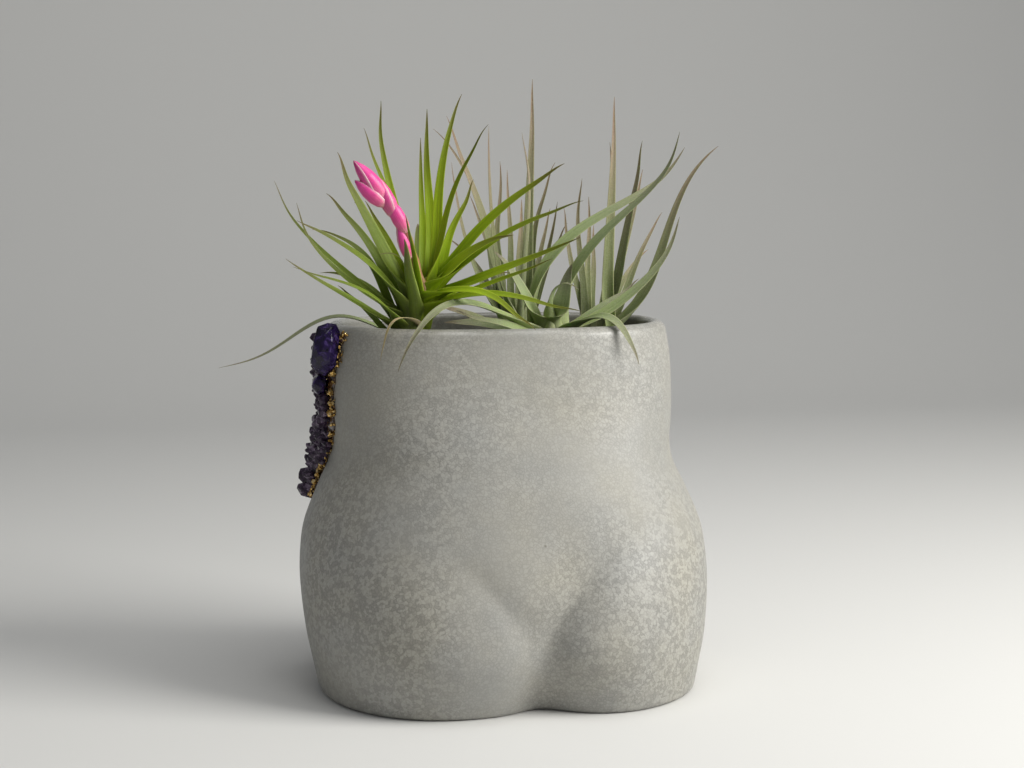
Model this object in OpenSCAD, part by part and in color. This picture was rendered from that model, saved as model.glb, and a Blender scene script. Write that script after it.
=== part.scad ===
// Hip-shaped ceramic planter with an amethyst trim and three air plants.
// Millimetres. +Z is up, the front of the hips faces -Y, and the origin is
// the middle of the flat foot.

/* [Body] */
// Height of the pot from foot to lip
pot_h = 158; // [150:1:170]
// Width across the hips
hip_w = 178; // [172:1:184]
// Width at the waist
waist_w = 149; // [145:1:153]
// Width of the foot
foot_w = 164; // [160:1:168]
// Width over the lip
rim_w = 149; // [145:1:153]
// Reach of the thighs in front of the origin, at the foot
foot_front = 72; // [70:1:74]
// Reach of the lip in front of the origin
rim_front = 33; // [31:1:35]
// Reach of the lip behind the origin
rim_back = 66; // [64:1:68]
// How far the widest line leans back from foot to lip
lean = 18; // [15:1:20]
// Squareness of the sections, 2 is an ellipse
squareness = 2.4; // [2.2:0.1:2.6]
// Thickness of the ceramic wall
wall = 6; // [5:0.5:7]
// Thickness of the floor
floor_t = 7; // [6:0.5:9]
// Radius of the lip's outer edge
lip_r = 3.5; // [2.5:0.5:4]

/* [Modelling of the body] */
// Depth of the notch between the thighs in front
notch_d = 21; // [16:1:26]
// Height at which it has faded out
notch_top = 92; // [84:1:104]
// Half-width of that notch
notch_w = 27; // [22:1:30]
// Sharpness of its bottom, 1 is a sharp line and 2 a round valley
notch_round = 1.3; // [1:0.05:2]
// Share of the notch's depth on the left of the middle, where the thigh runs on into the mound
notch_left = 0.4; // [0.4:0.05:1]
// Height at which the two groin lines meet
groin_z = 34; // [30:1:42]
// How far each groin line moves sideways per mm of height
groin_slope = 0.85; // [0.7:0.05:1.5]
// Height over which the groin lines round into each other
groin_round = 6; // [3:1:9]
// Swell of the thighs
thigh_d = 2.5; // [0:0.5:4]
// Swell of the mound between the groin lines
mound_d = 2.5; // [0:0.5:4]
// Swell of the buttocks
buttock_d = 13; // [8:1:16]
// Height of the buttocks' middle
buttock_z = 64; // [56:1:70]
// Radius over which a buttock fades out
buttock_r = 31; // [26:1:36]
// Sideways place of a buttock's middle
buttock_x = 38; // [34:1:42]
// Depth of the cleft
cleft_d = 15; // [10:1:18]
// Depth of the folds under the buttocks
fold_d = 3.5; // [0:0.5:5]
// Depth of the notch between the thighs behind
back_notch_d = 18; // [12:1:20]

/* [Amethyst trim] */
// Front edge of the trim at the lip, measured back from the origin
trim_front_y = -5; // [-8:1:-2]
// Back edge of the trim at the lip, measured back from the origin
trim_back_y = 49; // [46:1:51]
// Thickness of the resin bed
resin_t = 2.2; // [1.6:0.2:3]
// Number of quartz points in the trim
points_n = 54; // [20:1:70]
// Number of gold grains along each edge of the trim
grains_n = 26; // [10:1:40]

/* [Planting] */
// Height of the gravel's top
gravel_z = 126; // [118:1:130]
// Space between the gravel and the pot's wall
gravel_gap = 2.8; // [1.6:0.2:3.2]
// Crown of the flowering plant
green_at = [-40, -2, 148.7]; // [-50:0.1:150]
// Crown of the broad-leaved silver plant
silver_at = [22, 4, 148]; // [0:1:150]
// Crown of the left grey plant at the back
grey_left_at = [14, 42, 146]; // [0:1:150]
// Crown of the right grey plant at the back
grey_right_at = [49, 30, 146]; // [0:1:150]

/* [Hidden] */

// Colours
ceramic = "#8f8c84";
resin = "#2a1d16";
violet = "#2c1d4c";
violet_pale = "#5a4d6b";
gold = "#c9a25e";
grit = "#4a443c";
leaf_grey = "#7f8a72";
leaf_silver = "#98a68c";
leaf_green = "#7d9a1c";
leaf_olive = "#5f7030";
leaf_dry = "#b39a6a";
pink = "#d8388a";
stalk_pink = "#b86a70";

// Levels of the profiles and what the body measures there
level_z = pot_h / 158 * [0, 10, 25, 44, 57, 71, 87, 98, 107, 114, 126, 142, 158];
hip = hip_w / 2;
waist = waist_w / 2;
side_reach = [foot_w/2, foot_w/2 + 2, hip - 2, hip, hip, hip - 2, waist + 6, waist + 1, waist,
    waist + 1, waist + 2, waist + 2, rim_w/2];
front_reach = [foot_front, foot_front + 2, foot_front + 3, foot_front - 0.5, foot_front - 4.5,
    rim_front + 30, rim_front + 24, rim_front + 19.5, rim_front + 16, rim_front + 13,
    rim_front + 8, rim_front + 3.5, rim_front];
back_reach = [rim_back - 10, rim_back - 6, rim_back - 2, rim_back, rim_back, rim_back - 1,
    rim_back - 2, rim_back - 3, rim_back - 4, rim_back - 4, rim_back - 3, rim_back - 1, rim_back];

// Small helpers
function bell(u) = exp(-u*u);
function ramp(a, b, x) = let(t = min(1, max(0, (x - a) / (b - a)))) t*t*(3 - 2*t);
function lerp(a, b, t) = a + (b - a)*t;
function unit(v) = v / norm(v);
function sgn_pow(v, e) = sign(v) * pow(abs(v), e);
function chance(k, s) = let(v = sin(k*127.1 + s*311.7) * 43758.5453) v - floor(v);

// A smooth profile through the values v at the levels
function gradient(v, i) = let(a = max(i - 1, 0), b = min(i + 1, len(v) - 1))
    (v[b] - v[a]) / (level_z[b] - level_z[a]);
function level_under(z, i = 0) =
    i >= len(level_z) - 2 || z < level_z[i + 1] ? i : level_under(z, i + 1);
function profile(v, z) =
    let(i = level_under(z), h = level_z[i + 1] - level_z[i], t = (z - level_z[i]) / h)
    (1 + 2*t)*pow(1 - t, 2)*v[i] + t*pow(1 - t, 2)*h*gradient(v, i)
    + t*t*(3 - 2*t)*v[i + 1] + t*t*(t - 1)*h*gradient(v, i + 1);

// Relief of the front: thighs, the groin lines' V and the mound between them
function front_relief(x, z) =
    let(side = sqrt(x*x + 9) - 3,
        left = 1 - ramp(-20, 16, x),
        shallower = (1 - notch_left)*left*(2 + ramp(0, 30, z))/3,
        deep = notch_d*pow(min(1, max(0, 1 - z/notch_top)), 1.5)*(1 - shallower),
        flat = max(0, groin_slope*groin_round*ln(1 + exp((z - groin_z)/groin_round)) - 0.2),
        wide = notch_w*(1 - 0.4*ramp(0, 30, z) + 1.1*ramp(54, 84, z))*(0.7 + 0.6*left),
        far = max(side - flat, 0) / wide,
        off_line = (side - groin_slope*(z - groin_z)) / sqrt(1 + groin_slope*groin_slope))
    - deep*exp(-pow(far, notch_round))
    + thigh_d*bell((side - 40)/26)*bell((z - 34)/34)
    + mound_d*bell(x/17)*bell((z - 52)/18)
    - 0.7*bell(off_line/5.5)*ramp(8, 34, z)*(1 - ramp(48, 74, z));

// Relief of the back: buttocks, cleft, folds and the notch between the thighs
function back_relief(x, z) =
    let(side = sqrt(x*x + 9) - 3,
        away = pow((side - buttock_x)/buttock_r, 2) + pow((z - buttock_z)/buttock_r, 2),
        fold_z = 27 + 6*pow((side - buttock_x)/30, 2))
    buttock_d*exp(-pow(away, 1.25))
    - cleft_d*bell(x/8)*ramp(10, 34, z)*(1 - ramp(88, 120, z))
    - fold_d*bell((z - fold_z)/9)*(1 - ramp(55, 76, side))*ramp(4, 18, side)
    - back_notch_d*bell(x/20)*(1 - ramp(6, 46, z));

// A point of the body at angle a and height z, moved in by inset
function body_point(a, z, inset = 0) =
    let(e = 2/squareness, mid = lean*z/pot_h,
        x = (profile(side_reach, z) - inset)*sgn_pow(cos(a), e),
        q = pow(abs(sin(a)), e), fade = ramp(0, 0.35, abs(sin(a))))
    sin(a) < 0
    ? [x, mid - (profile(front_reach, z) - inset + mid)*q - front_relief(x, z)*fade, z]
    : [x, mid + (profile(back_reach, z) - inset - mid)*q + back_relief(x, z)*fade, z];

// Angles round the body, closer together at the middle of front and back
function round_angles(n) = [for (i = [0:n-1]) let(a = 360*i/n) a + 14.3*sin(2*a)];
function ring(z, inset, n, sink = 0) = [for (a = round_angles(n))
    let(p = body_point(a, z, inset)) [p.x, p.y, p.z - sink]];

// A closed skin over rings of points, with a point at each end
module skin(rings, low, high) {
    n = len(rings[0]);
    last = len(rings) * n + 1;
    polyhedron(
        points = concat([low], [for (r = rings) each r], [high]),
        faces = concat(
            [for (i = [0:n-1]) [0, 1 + i, 1 + (i + 1) % n]],
            [for (j = [0:len(rings)-2], i = [0:n-1])
                let(a = 1 + j*n + i, b = 1 + j*n + (i + 1) % n) each [[a, a + n, b + n], [a, b + n, b]]],
            [for (i = [0:n-1]) let(k = 1 + (len(rings) - 1)*n) [last, k + (i + 1) % n, k + i]]),
        convexity = 8);
}

// The pot: outer wall, rolled lip, inner wall and floor in one skin
module pot_shell() color(ceramic) {
    n = 72;
    foot_r = 2;
    corner_r = 10;
    low_in = pot_h - (wall - lip_r);
    skin(
        concat(
            [ring(0, foot_r, n), ring(0.6, 0.6, n)],
            [for (k = [0:25]) ring(lerp(foot_r, pot_h - lip_r, k/25), 0, n)],
            [for (a = [22.5:22.5:90]) ring(pot_h - lip_r + lip_r*sin(a), lip_r*(1 - cos(a)), n)],
            [for (a = [30:30:90]) ring(low_in + (wall - lip_r)*cos(a), lip_r + (wall - lip_r)*sin(a), n)],
            [for (k = [1:8]) ring(lerp(low_in, floor_t + corner_r, k/8), wall, n)],
            [for (a = [30:30:90]) ring(floor_t + corner_r*(1 - sin(a)), wall + corner_r*(1 - cos(a)), n)]),
        [0, 0, 0], [0, 0, floor_t]);
}

// Place on the left side at y and z, and the outward direction there
function side_angle(y, z) =
    let(mid = lean*z/pot_h, e = squareness/2)
    y > mid ? 180 - asin(pow((y - mid)/(profile(back_reach, z) - mid), e))
    : 180 + asin(pow((mid - y)/(profile(front_reach, z) + mid), e));
function side_point(y, z) = body_point(side_angle(y, z), z);
function side_out(y, z) =
    unit(cross(side_point(y, z + 1) - side_point(y, z - 1), side_point(y + 1, z) - side_point(y - 1, z)));

// Outline of the trim, which narrows and draws back below the waist; v runs
// from -1 at its front edge to 1 at its back edge
trim_top = 155;
trim_low = 77;
function trim_front(z) = trim_front_y + 3.5*(1 - ramp(130, 150, z)) + 30*(1 - ramp(86, 118, z))
    + 0.6*sin(z*37);
function trim_back(z) = trim_back_y - 6*(1 - ramp(83, 130, z)) + 1.5*sin(z*29);
function trim_side(v, z) = lerp(trim_front(z), trim_back(z), (v + 1)/2);
function trim_place(v, z) = side_point(trim_side(v, z), z);
function trim_out(v, z) = side_out(trim_side(v, z), z);
// How far the points stand off the wall: most in the hollow of the waist
function points_rise(z) = 5.4 + 5*(1 - ramp(98, 120, z))*ramp(74, 86, z);

// The dark resin that carries the stones, a lens against the wall
bed_cols = 7;
function bed_thick(v, t) = 0.5 + (resin_t - 0.5)*(1 - pow(v, 4))*ramp(0, 0.15, t)*ramp(0, 0.1, 1 - t);
function bed_v(i) = lerp(-1, 1, i/(bed_cols - 1));
function bed_ring(t) = let(z = lerp(trim_low, trim_top, t)) concat(
    [for (i = [0:bed_cols-1]) trim_place(bed_v(i), z) + 0.15*trim_out(bed_v(i), z)],
    [for (i = [bed_cols-1:-1:0]) trim_place(bed_v(i), z) + bed_thick(bed_v(i), t)*trim_out(bed_v(i), z)]);
function mean_point(r, i, j) = (r[i] + r[j])/2;
module resin_bed() color(resin) {
    rows = 16;
    rings = [for (j = [0:rows-1]) bed_ring(j/(rows - 1))];
    skin(rings, mean_point(rings[0], 3, 10), mean_point(rings[rows-1], 3, 10));
}

// A rough stone: the hull of points spread over an ellipsoid whose middle is
// lift above the wall, flattened where it would go into the wall. Its size is
// given outwards, along the wall and upwards.
wall_gap = 1.2;
module stone(v, z, size, lift, seed, n) {
    out = trim_out(v, z);
    side = unit(cross([0, 0, 1], out));
    up = cross(out, side);
    spread = [for (k = [0:n-1])
        let(h = 1 - 2*(k + 0.5)/n, turn = 137.508*k + 40*chance(k, seed), r = sqrt(1 - h*h),
            s = 0.86 + 0.2*chance(k, seed + 1))
        trim_place(v, z) + max(wall_gap, lift + s*size.x*r*cos(turn))*out
            + s*size.y*r*sin(turn)*side + s*size.z*h*up];
    hull() polyhedron(spread, [for (k = [0:n-3]) [k, k + 1, k + 2]]);
}
module large_stone(more = 0) stone(-0.86, 148, [6.6, 6.6, 11.8] + more*[1, 1, 1], 4.9, 3, 34);
bead_v = -0.72;
bead_z = 132.6;
bead_room = 5.5;
module round_stone(more = 0) stone(bead_v, bead_z, [3.9, 4.1, 4.5] + more*[1, 1, 1], 4.5, 8, 26);

// A six-sided quartz point standing along dir
module quartz(at, dir, r, len, turn) {
    side = unit(cross(dir, [0.3, 0.2, 1]));
    other = cross(dir, side);
    base = [for (h = [0, 1], k = [0:5])
        let(a = 60*k + turn, w = r*(h == 0 ? 0.92 : 1)*(1 + 0.16*cos(3*a)))
        at + w*(cos(a)*side + sin(a)*other) + dir*len*h*0.55];
    hull() polyhedron(concat(base, [at + dir*len]), [for (k = [0:10]) [k, k + 1, k + 2]]);
}

module amethyst_large() color(violet) large_stone();
module amethyst_round() color(violet) round_stone();

// Small points all over the bed, leaning a little every way
module amethyst_points() color(violet_pale) {
    difference() {
        for (k = [0:points_n-1]) {
            t = (k + 0.5)/points_n;
            z = lerp(trim_low + 3, trim_top - 5, t);
            v = -0.78 + 1.63*chance(k, 1);
            size = 1.7 + 1.4*chance(k, 2) + 1.2*(1 - t);
            out = trim_out(v, z);
            dir = unit(out + 0.7*[0, chance(k, 3) - 0.5, chance(k, 4) - 0.4]);
            long = points_rise(z)*(0.75 + 0.35*chance(k, 5));
            if (norm(trim_place(v, z) - trim_place(bead_v, bead_z)) > bead_room)
                quartz(trim_place(v, z) + 1.4*out, dir, size, long, 60*chance(k, 6));
        }
        large_stone(0.2);
        round_stone(0.2);
    }
}

// Gold grains along both edges of the bed
module gold_grains() color(gold) {
    for (edge = [-1, 1], k = [0:grains_n-1]) {
        z = lerp(trim_low + 2, trim_top - 1, (k + 0.5 + 0.4*(chance(k, edge + 8) - 0.5))/grains_n);
        v = edge*(1.02 - 0.05*chance(k, 11 + edge));
        r = 0.85 + 0.45*chance(k, 13 + edge);
        c = trim_place(v, z) + 1.5*trim_out(v, z);
        turn = 90*chance(k, 15);
        hull() polyhedron(
            [for (d = [[cos(turn), sin(turn), 0.2], [-sin(turn), cos(turn), -0.2],
                [-cos(turn), -sin(turn), 0.1], [sin(turn), -cos(turn), 0], [0.2, 0.1, 1],
                [-0.1, -0.2, -1]]) c + r*d],
            [[0, 1, 2], [2, 3, 4], [3, 4, 5]]);
    }
}

// The gravel that the plants stand on
module gravel_fill() color(grit) {
    n = 36;
    inset = wall + gravel_gap;
    skin(
        concat([ring(floor_t + 0.1, wall + 11, n), ring(floor_t + 4, wall + 6, n)],
            [for (k = [0:8]) ring(lerp(floor_t + 11, gravel_z, k/8), inset, n)]),
        [0, 0, floor_t + 0.1], [0, lean*gravel_z/pot_h, gravel_z]);
}

// Leaves. A row is [across, back, up, early bow, late bow, width, side, rise]:
// the tip seen from the plant's crown, how far the leaf bows up from the
// straight line in its first and its second half, its widest measure, and the
// side and height at which it leaves the stem. A ninth number is a hump that
// takes the leaf over the lip. The stem's axis is given by its foot and by how
// much it leans per mm of height. Leaves twist above their base, so that those
// reaching sideways turn their upper face to the front by up to twist degrees.
function leaf_root(axis, row, r) =
    [axis[0].x + axis[1].x*row[7] + r*cos(row[6]), axis[0].y + axis[1].y*row[7] + r*sin(row[6]), row[7]];
function leaf_up(d) = let(n = cross(unit([d.y, -d.x, 0]), unit(d))) n.z < 0 ? -n : n;
function leaf_point(d, row, t) =
    d*t + leaf_up(d)*3*t*(1 - t)*((1 - t)*row[3] + t*row[4])
    + [0, 0, is_undef(row[8]) ? 0 : row[8]*bell((t - 0.6)/0.22)];
function leaf_width(t) = (0.5 + 0.5*ramp(0, 0.2, t))*pow(1 - t, 0.85)*(1 + 0.35*t);
function leaf_turn(d, twist, t) = twist*d.x/norm([d.x, d.y])*(0.3 + 0.7*ramp(0, 0.35, t));
function leaf_ring(d, row, twist, t) =
    let(way = unit(leaf_point(d, row, t + 0.01) - leaf_point(d, row, t - 0.01)),
        flat = unit([d.y, -d.x, 0]), top = cross(flat, way), over = top*leaf_up(d) < 0 ? -top : top,
        a = leaf_turn(d, twist, t), side = flat*cos(a) - over*sin(a), up = over*cos(a) + flat*sin(a),
        p = leaf_point(d, row, t), half = row[5]/2*leaf_width(t), thick = 0.35 + 0.1*row[5]*(1 - t),
        section = [p + side*half + up*0.3*thick, p + up*0.1*thick,
            p - side*half + up*0.3*thick, p - up*thick])
    top*leaf_up(d) < 0 ? [for (i = [3:-1:0]) section[i]] : section;

// All leaves of one group, as separate closed shells in one polyhedron
module leaves(at, axis, rows, r, steps, twist = 50) {
    shells = [for (row = rows)
        let(root = leaf_root(axis, row, r), d = [row[0], row[1], row[2]] - root)
        [for (k = [0:steps-1], p = leaf_ring(d, row, twist, 0.97*pow(k/steps, 1.15))) at + root + p,
            at + root + leaf_point(d, row, 0.99)]];
    each_n = 4*steps + 1;
    polyhedron(
        points = [for (s = shells) each s],
        faces = [for (s = [0:len(rows)-1]) let(o = s*each_n) each concat(
            [[o + 2, o + 1, o], [o + 3, o + 2, o]],
            [for (j = [0:steps-2], i = [0:3])
                let(a = o + 4*j + i, b = o + 4*j + (i + 1) % 4) each [[b + 4, a + 4, a], [b, b + 4, a]]],
            [for (i = [0:3]) let(a = o + 4*(steps - 1)) [a + i, a + (i + 1) % 4, o + each_n - 1]])],
        convexity = 10);
}

// The leaf bases grown together round a stem, with its foot on the gravel
module crown(at, r, tall) {
    foot = gravel_z + 0.2 - at.z;
    translate(at) rotate_extrude($fn = 24)
        polygon([[0, foot], [0.55*r, foot], [0.8*r, foot*0.7], [r, foot*0.25], [0.95*r, 0.2*r],
            [0.62*r, 0.9*r], [0.3*r, tall], [0, tall]]);
}
// The flowering plant's leaf bases make a leaning sheath
module sheath(at, low, high) {
    foot = gravel_z + 0.2 - at.z;
    hull() {
        translate(at + low) sphere(r = 9, $fn = 20);
        translate(at + high) sphere(r = 6.5, $fn = 20);
        translate(at + [low.x, low.y, foot]) cylinder(h = 2, r = 6, $fn = 20);
    }
}

silver_r = 9;
grey_r = 8;
straight = [[0, 0], [0, 0]];
leaning = [[-2.5, 0], [0.27, -0.05]];

green_upright = [
    [-20, 22, 93, 3, 2, 4, 118, 26], [-14, 12, 105, 0, -5, 5, 165, 26], [7, 24, 90, -8, 2, 4, 92, 26],
    [7, 7, 102, -2, 0, 5.5, 58, 27], [23, 5, 108, 4, 12, 5.5, 5, 27], [33, -12, 94, 5, 12, 5, -50, 26],
    [31, 14, 70, 2, 6, 5, 28, 21], [-20, 14, 62, 3, 3, 5, 142, 20],
    [-8, -23, 57, 7, 2, 5, 284, 12]];
green_right = [
    [64, -16, 77, 8, 9, 7, 2, 25], [69, -28, 61, 9, 10, 6, -16, 22.5], [39, -20, 49, 6, 6, 8.5, -48, 23.5],
    [65, -34, 48, 2, -1, 7, -28, 20], [53, -36, 38, 1, 1, 4, -41, 17], [61, -53, 15, 16, 8.5, 5, -64, 14.5],
    [42, -48, 7, 16, 14, 5, -84, 20], [44, 8, 30, 8, 8, 5, 20, 12]];
green_left = [
    [-60, 12, 70, -1, -9, 3.5, 165, 12], [-53, -10, 61, -3, -11, 4, 190, 12],
    [-53, -28, 56, 12, 4, 6, 212, 14], [-58, -26, 40, 4, -2, 5, 200, 6],
    [-57, -40, 36, 14, 5, 4, 226, 6], [-38, 17, 64, 5, 10, 6, 145, 13],
    [-35, 6, 82, 2, 2, 8, 176, 20], [-8, -20, 47, 2, 3, 8.5, 250, 12], [-31, 22, 24.5, 2, 4, 3.5, 150, 1],
    [-18, -16, 40, 2, 18, 2.6, 228, 18]];
green_back = [
    [-42, 30, 48, 12, 22, 5, 150, 5], [-22, 36, 60, 8, 10, 6, 116, 14], [8, 38, 52, 10, 14, 6, 75, 13],
    [-36, 40, 30, 12, 12, 5, 126, 4], [34, 22, 22, 6, 8, 5, 40, 8]];
green_dry = [[-18, -25, -5.5, 17, 15, 2.6, 285, 9]];
silver_broad = [
    [62, 1, 85, 38, -6, 6.5, 165, 7], [56, -12, 92, 27, -11, 6.5, -25, 8], [-27, -8, 42, 2, 2, 11, 205, 7],
    [7, -8, 36, 0, 0, 12, 275, 9], [59, 1, 55, -6, -14, 6, 12, 3], [45, 15, 25, 3, 2, 5, 46, 2],
    [-48, -22, 14, 4, 4, 6, 235, 1.5], [-48, 2, 9, 5, 5, 9, 190, 2]];
silver_arching = [
    [-75, -42, -9, 20, 42, 7.5, 190, 4], [28, -40, -8, 20, 22, 7.5, -48, 4],
    [6, -24, 26, 10, 12, 4, 252, 12]];
grey_left = [
    [-33, 6, 102, 8, 6, 7, 200, 4], [-38, 14, 96, 4, 22, 4, 162, 4], [-30, -6, 82, -8, -8, 4, 232, 4],
    [-14, -8, 98, -6, -6, 5, 252, 5], [8, -2, 119, 2, 2, 6, 318, 5], [2, -10, 95, -4, -8, 4, 277, 5],
    [22, 2, 81, 2, 14, 4, 355, 4], [0, 20, 78, 4, 2, 4, 96, 5], [20, 14, 60, 2, 2, 4, 32, 4],
    [-18, 20, 66, 4, 4, 4, 122, 4], [8, 24, 64, 4, 6, 5, 66, 4], [-30, 18, 48, 8, 10, 4, 145, 1],
    [-7, 6, 82, -4, 2, 4, 176, 9], [27, 4, 53, 4, 6, 4, 10, 2], [18, -6, 64, 2, -2, 4, 337, 1],
    [-44, -24, 19, 4, 3, 7, 214, 2.5]];
grey_right = [
    [9, 2, 111, 2, 2, 6, 300, 5], [22, -4, 91, 2, 2, 6, 333, 5], [9, 14, 91, -6, -14, 4, 62, 5],
    [57, 0, 89, -14, 14, 6, -8, 4], [27, 18, 78, 2, 2, 5, 34, 4], [-6, 8, 74, -6, -10, 4, 212, 4],
    [-14, 16, 60, 4, 2, 4, 160, 4], [6, 30, 52, 6, 6, 4, 98, 3], [36, 16, 58, 2, 6, 4, 14, 2],
    [34, 34, 40, 8, 10, 4, 50, 1], [-1, 12, 66, 6, -10, 4, 120, 3]];
grey_trailing = [[-137.5, -30, -9, 0, 0, 6, 182, 3, 18.2]];

module grey_crowns() color(leaf_grey) {
    crown(grey_left_at, grey_r, 14);
    crown(grey_right_at, grey_r, 14);
}
module grey_left_leaves() color(leaf_grey) leaves(grey_left_at, straight, grey_left, 0.8*grey_r, 6);
module grey_right_leaves() color(leaf_grey) leaves(grey_right_at, straight, grey_right, 0.8*grey_r, 6);
module grey_trailing_leaf() color(leaf_silver)
    leaves(grey_left_at, straight, grey_trailing, 0.9*grey_r, 14, 25);
module silver_crown() color(leaf_silver) crown(silver_at, silver_r, 16);
module silver_broad_leaves() color(leaf_silver) leaves(silver_at, straight, silver_broad, 0.8*silver_r, 8);
module silver_arching_leaves() color(leaf_silver)
    leaves(silver_at, straight, silver_arching, 0.85*silver_r, 10, 38);
module green_crown() color(leaf_olive) sheath(green_at, [-2, 0, 2], [4, -1, 24]);
module green_upright_leaves() color(leaf_green) leaves(green_at, leaning, green_upright, 5, 7);
module green_right_leaves() color(leaf_green) leaves(green_at, leaning, green_right, 5.5, 9);
module green_left_leaves() color(leaf_olive) leaves(green_at, leaning, green_left, 7, 7);
module green_back_leaves() color(leaf_olive) leaves(green_at, leaning, green_back, 7, 7);
module green_dry_leaf() color(leaf_dry) leaves(green_at, leaning, green_dry, 7, 10, 0);

// The flower spike, placed from the flowering plant's crown: a stalk and
// five bracts, each given by its foot, its tip and its width
spike_foot = [3, -4.5, 24];
spike_head = [-6.4, -10, 53];
bracts = [[[-3.6, -8.6, 38], [-8.8, -9.6, 53], 5.4],
    [[-4.8, -9.5, 49], [-13.6, -10, 65], 6.2], [[-9.2, -9.7, 55.5], [-18.4, -10, 74], 6.8],
    [[-13.7, -9.8, 61], [-26.9, -11, 71.4], 6.8], [[-13.7, -9.8, 63], [-27.4, -11, 79.6], 7.8]];

module along(from, to) {
    way = to - from;
    translate(green_at + from) rotate([0, acos(way.z/norm(way)), atan2(way.y, way.x)]) children();
}
module flower_stalk() color(stalk_pink)
    along(spike_foot, spike_head) cylinder(h = norm(spike_head - spike_foot), d1 = 5, d2 = 3.6, $fn = 24);

// A bract is a pointed egg cut in one turned outline
module bract(len, w) {
    rotate_extrude($fn = 24)
        polygon([[0, 0], [0.25*w, 0.02*len], [0.42*w, 0.15*len], [0.5*w, 0.36*len], [0.45*w, 0.6*len],
            [0.3*w, 0.8*len], [0.1*w, 0.96*len], [0, len]]);
}
module flower_bracts() color(pink)
    for (b = bracts) along(b[0], b[1]) bract(norm(b[1] - b[0]), b[2]);

pot_shell();
resin_bed();
amethyst_large();
amethyst_round();
amethyst_points();
gold_grains();
gravel_fill();
grey_crowns();
grey_left_leaves();
grey_right_leaves();
grey_trailing_leaf();
silver_crown();
silver_broad_leaves();
silver_arching_leaves();
green_crown();
green_upright_leaves();
green_right_leaves();
green_left_leaves();
green_back_leaves();
green_dry_leaf();
flower_stalk();
flower_bracts();
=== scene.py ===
"""Looks of the hip-shaped ceramic planter with its stone trim and three air plants.

Lengths in the shape functions are millimetres, as in the CAD source; meshes are made in metres.
"""
import math

import bmesh
import bpy
import numpy as np
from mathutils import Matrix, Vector


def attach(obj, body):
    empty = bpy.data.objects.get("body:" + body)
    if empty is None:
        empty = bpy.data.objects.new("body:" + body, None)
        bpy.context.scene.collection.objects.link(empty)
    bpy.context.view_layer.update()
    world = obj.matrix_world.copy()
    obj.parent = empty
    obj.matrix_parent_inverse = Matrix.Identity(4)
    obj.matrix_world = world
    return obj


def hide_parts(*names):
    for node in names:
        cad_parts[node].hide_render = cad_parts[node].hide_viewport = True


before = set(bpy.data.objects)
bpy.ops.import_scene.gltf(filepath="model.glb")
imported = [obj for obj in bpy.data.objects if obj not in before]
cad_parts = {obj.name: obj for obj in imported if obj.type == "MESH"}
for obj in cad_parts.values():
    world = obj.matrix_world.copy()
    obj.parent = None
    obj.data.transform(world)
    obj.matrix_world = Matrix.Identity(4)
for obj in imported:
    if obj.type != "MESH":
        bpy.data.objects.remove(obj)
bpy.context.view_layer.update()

MM = 0.001

# The body's driving sizes, the same as in the CAD source
POT_H = 158.0
HIP = 89.0
WAIST = 74.5
FOOT_HALF = 82.0
RIM_HALF = 74.5
FOOT_FRONT = 72.0
RIM_FRONT = 33.0
RIM_BACK = 66.0
LEAN = 18.0
SQUARENESS = 2.4
WALL = 6.0
FLOOR = 7.0
LIP_R = 3.5
FOOT_R = 2.0
INNER_R = 10.0
GRAVEL_Z = 126.0

# What the body measures to the side, the front and the back at its levels
LEVELS = [POT_H / 158 * z for z in (0, 10, 25, 44, 57, 71, 87, 98, 107, 114, 126, 142, 158)]
SIDE = [FOOT_HALF, FOOT_HALF + 2, HIP - 2, HIP, HIP, HIP - 2, WAIST + 6, WAIST + 1, WAIST, WAIST + 1,
        WAIST + 2, WAIST + 2, RIM_HALF]
FRONT = ([FOOT_FRONT + more for more in (0, 2, 3, -0.5, -4.5)]
         + [RIM_FRONT + more for more in (30, 24, 19.5, 16, 13, 8, 3.5, 0)])
BACK = [RIM_BACK - less for less in (10, 6, 2, 0, 0, 1, 2, 3, 4, 4, 3, 1, 0)]

# Modelling of the front
NOTCH_D = 21
NOTCH_TOP = 92
NOTCH_W = 27
NOTCH_ROUND = 1.3
NOTCH_LEFT = 0.4
GROIN_Z = 34.0
GROIN_SLOPE = 0.85
GROIN_ROUND = 6
GROOVE_D = 0.7
GROOVE_W = 5.5
THIGH_D = 2.5
MOUND_D = 2.5

# Modelling of the back
BUTTOCK_D = 13
BUTTOCK_X = 38
BUTTOCK_Z = 64
BUTTOCK_R = 31
CLEFT_D = 15
FOLD_D = 3.5
BACK_NOTCH_D = 18


def ramp(low, high, x):
    """From 0 at low to 1 at high, smoothly."""
    t = np.clip((x - low) / (high - low), 0, 1)
    return t * t * (3 - 2 * t)


def bell(u):
    return np.exp(-u * u)


def unit(v):
    v = np.asarray(v, float)
    return v / np.linalg.norm(v, axis=-1, keepdims=True)


def chance(k, s):
    """A number from 0 to 1 that looks random, always the same for a piece's number k and a draw s."""
    v = math.sin(math.radians(k * 127.1 + s * 311.7)) * 43758.5453
    return v - math.floor(v)


def lump(p, size, seed):
    """Cheap smooth noise from -1 to 1 at points p, about size mm across."""
    q = np.asarray(p) / size * 2 * math.pi
    return (np.sin(q[..., 0] + 1.7 * np.sin(q[..., 1] * 0.83 + seed)) * np.sin(q[..., 1] * 1.13 + seed * 2)
            + np.sin(q[..., 2] * 0.97 + 1.3 * np.sin(q[..., 0] * 1.21 + seed))) / 2


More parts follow.
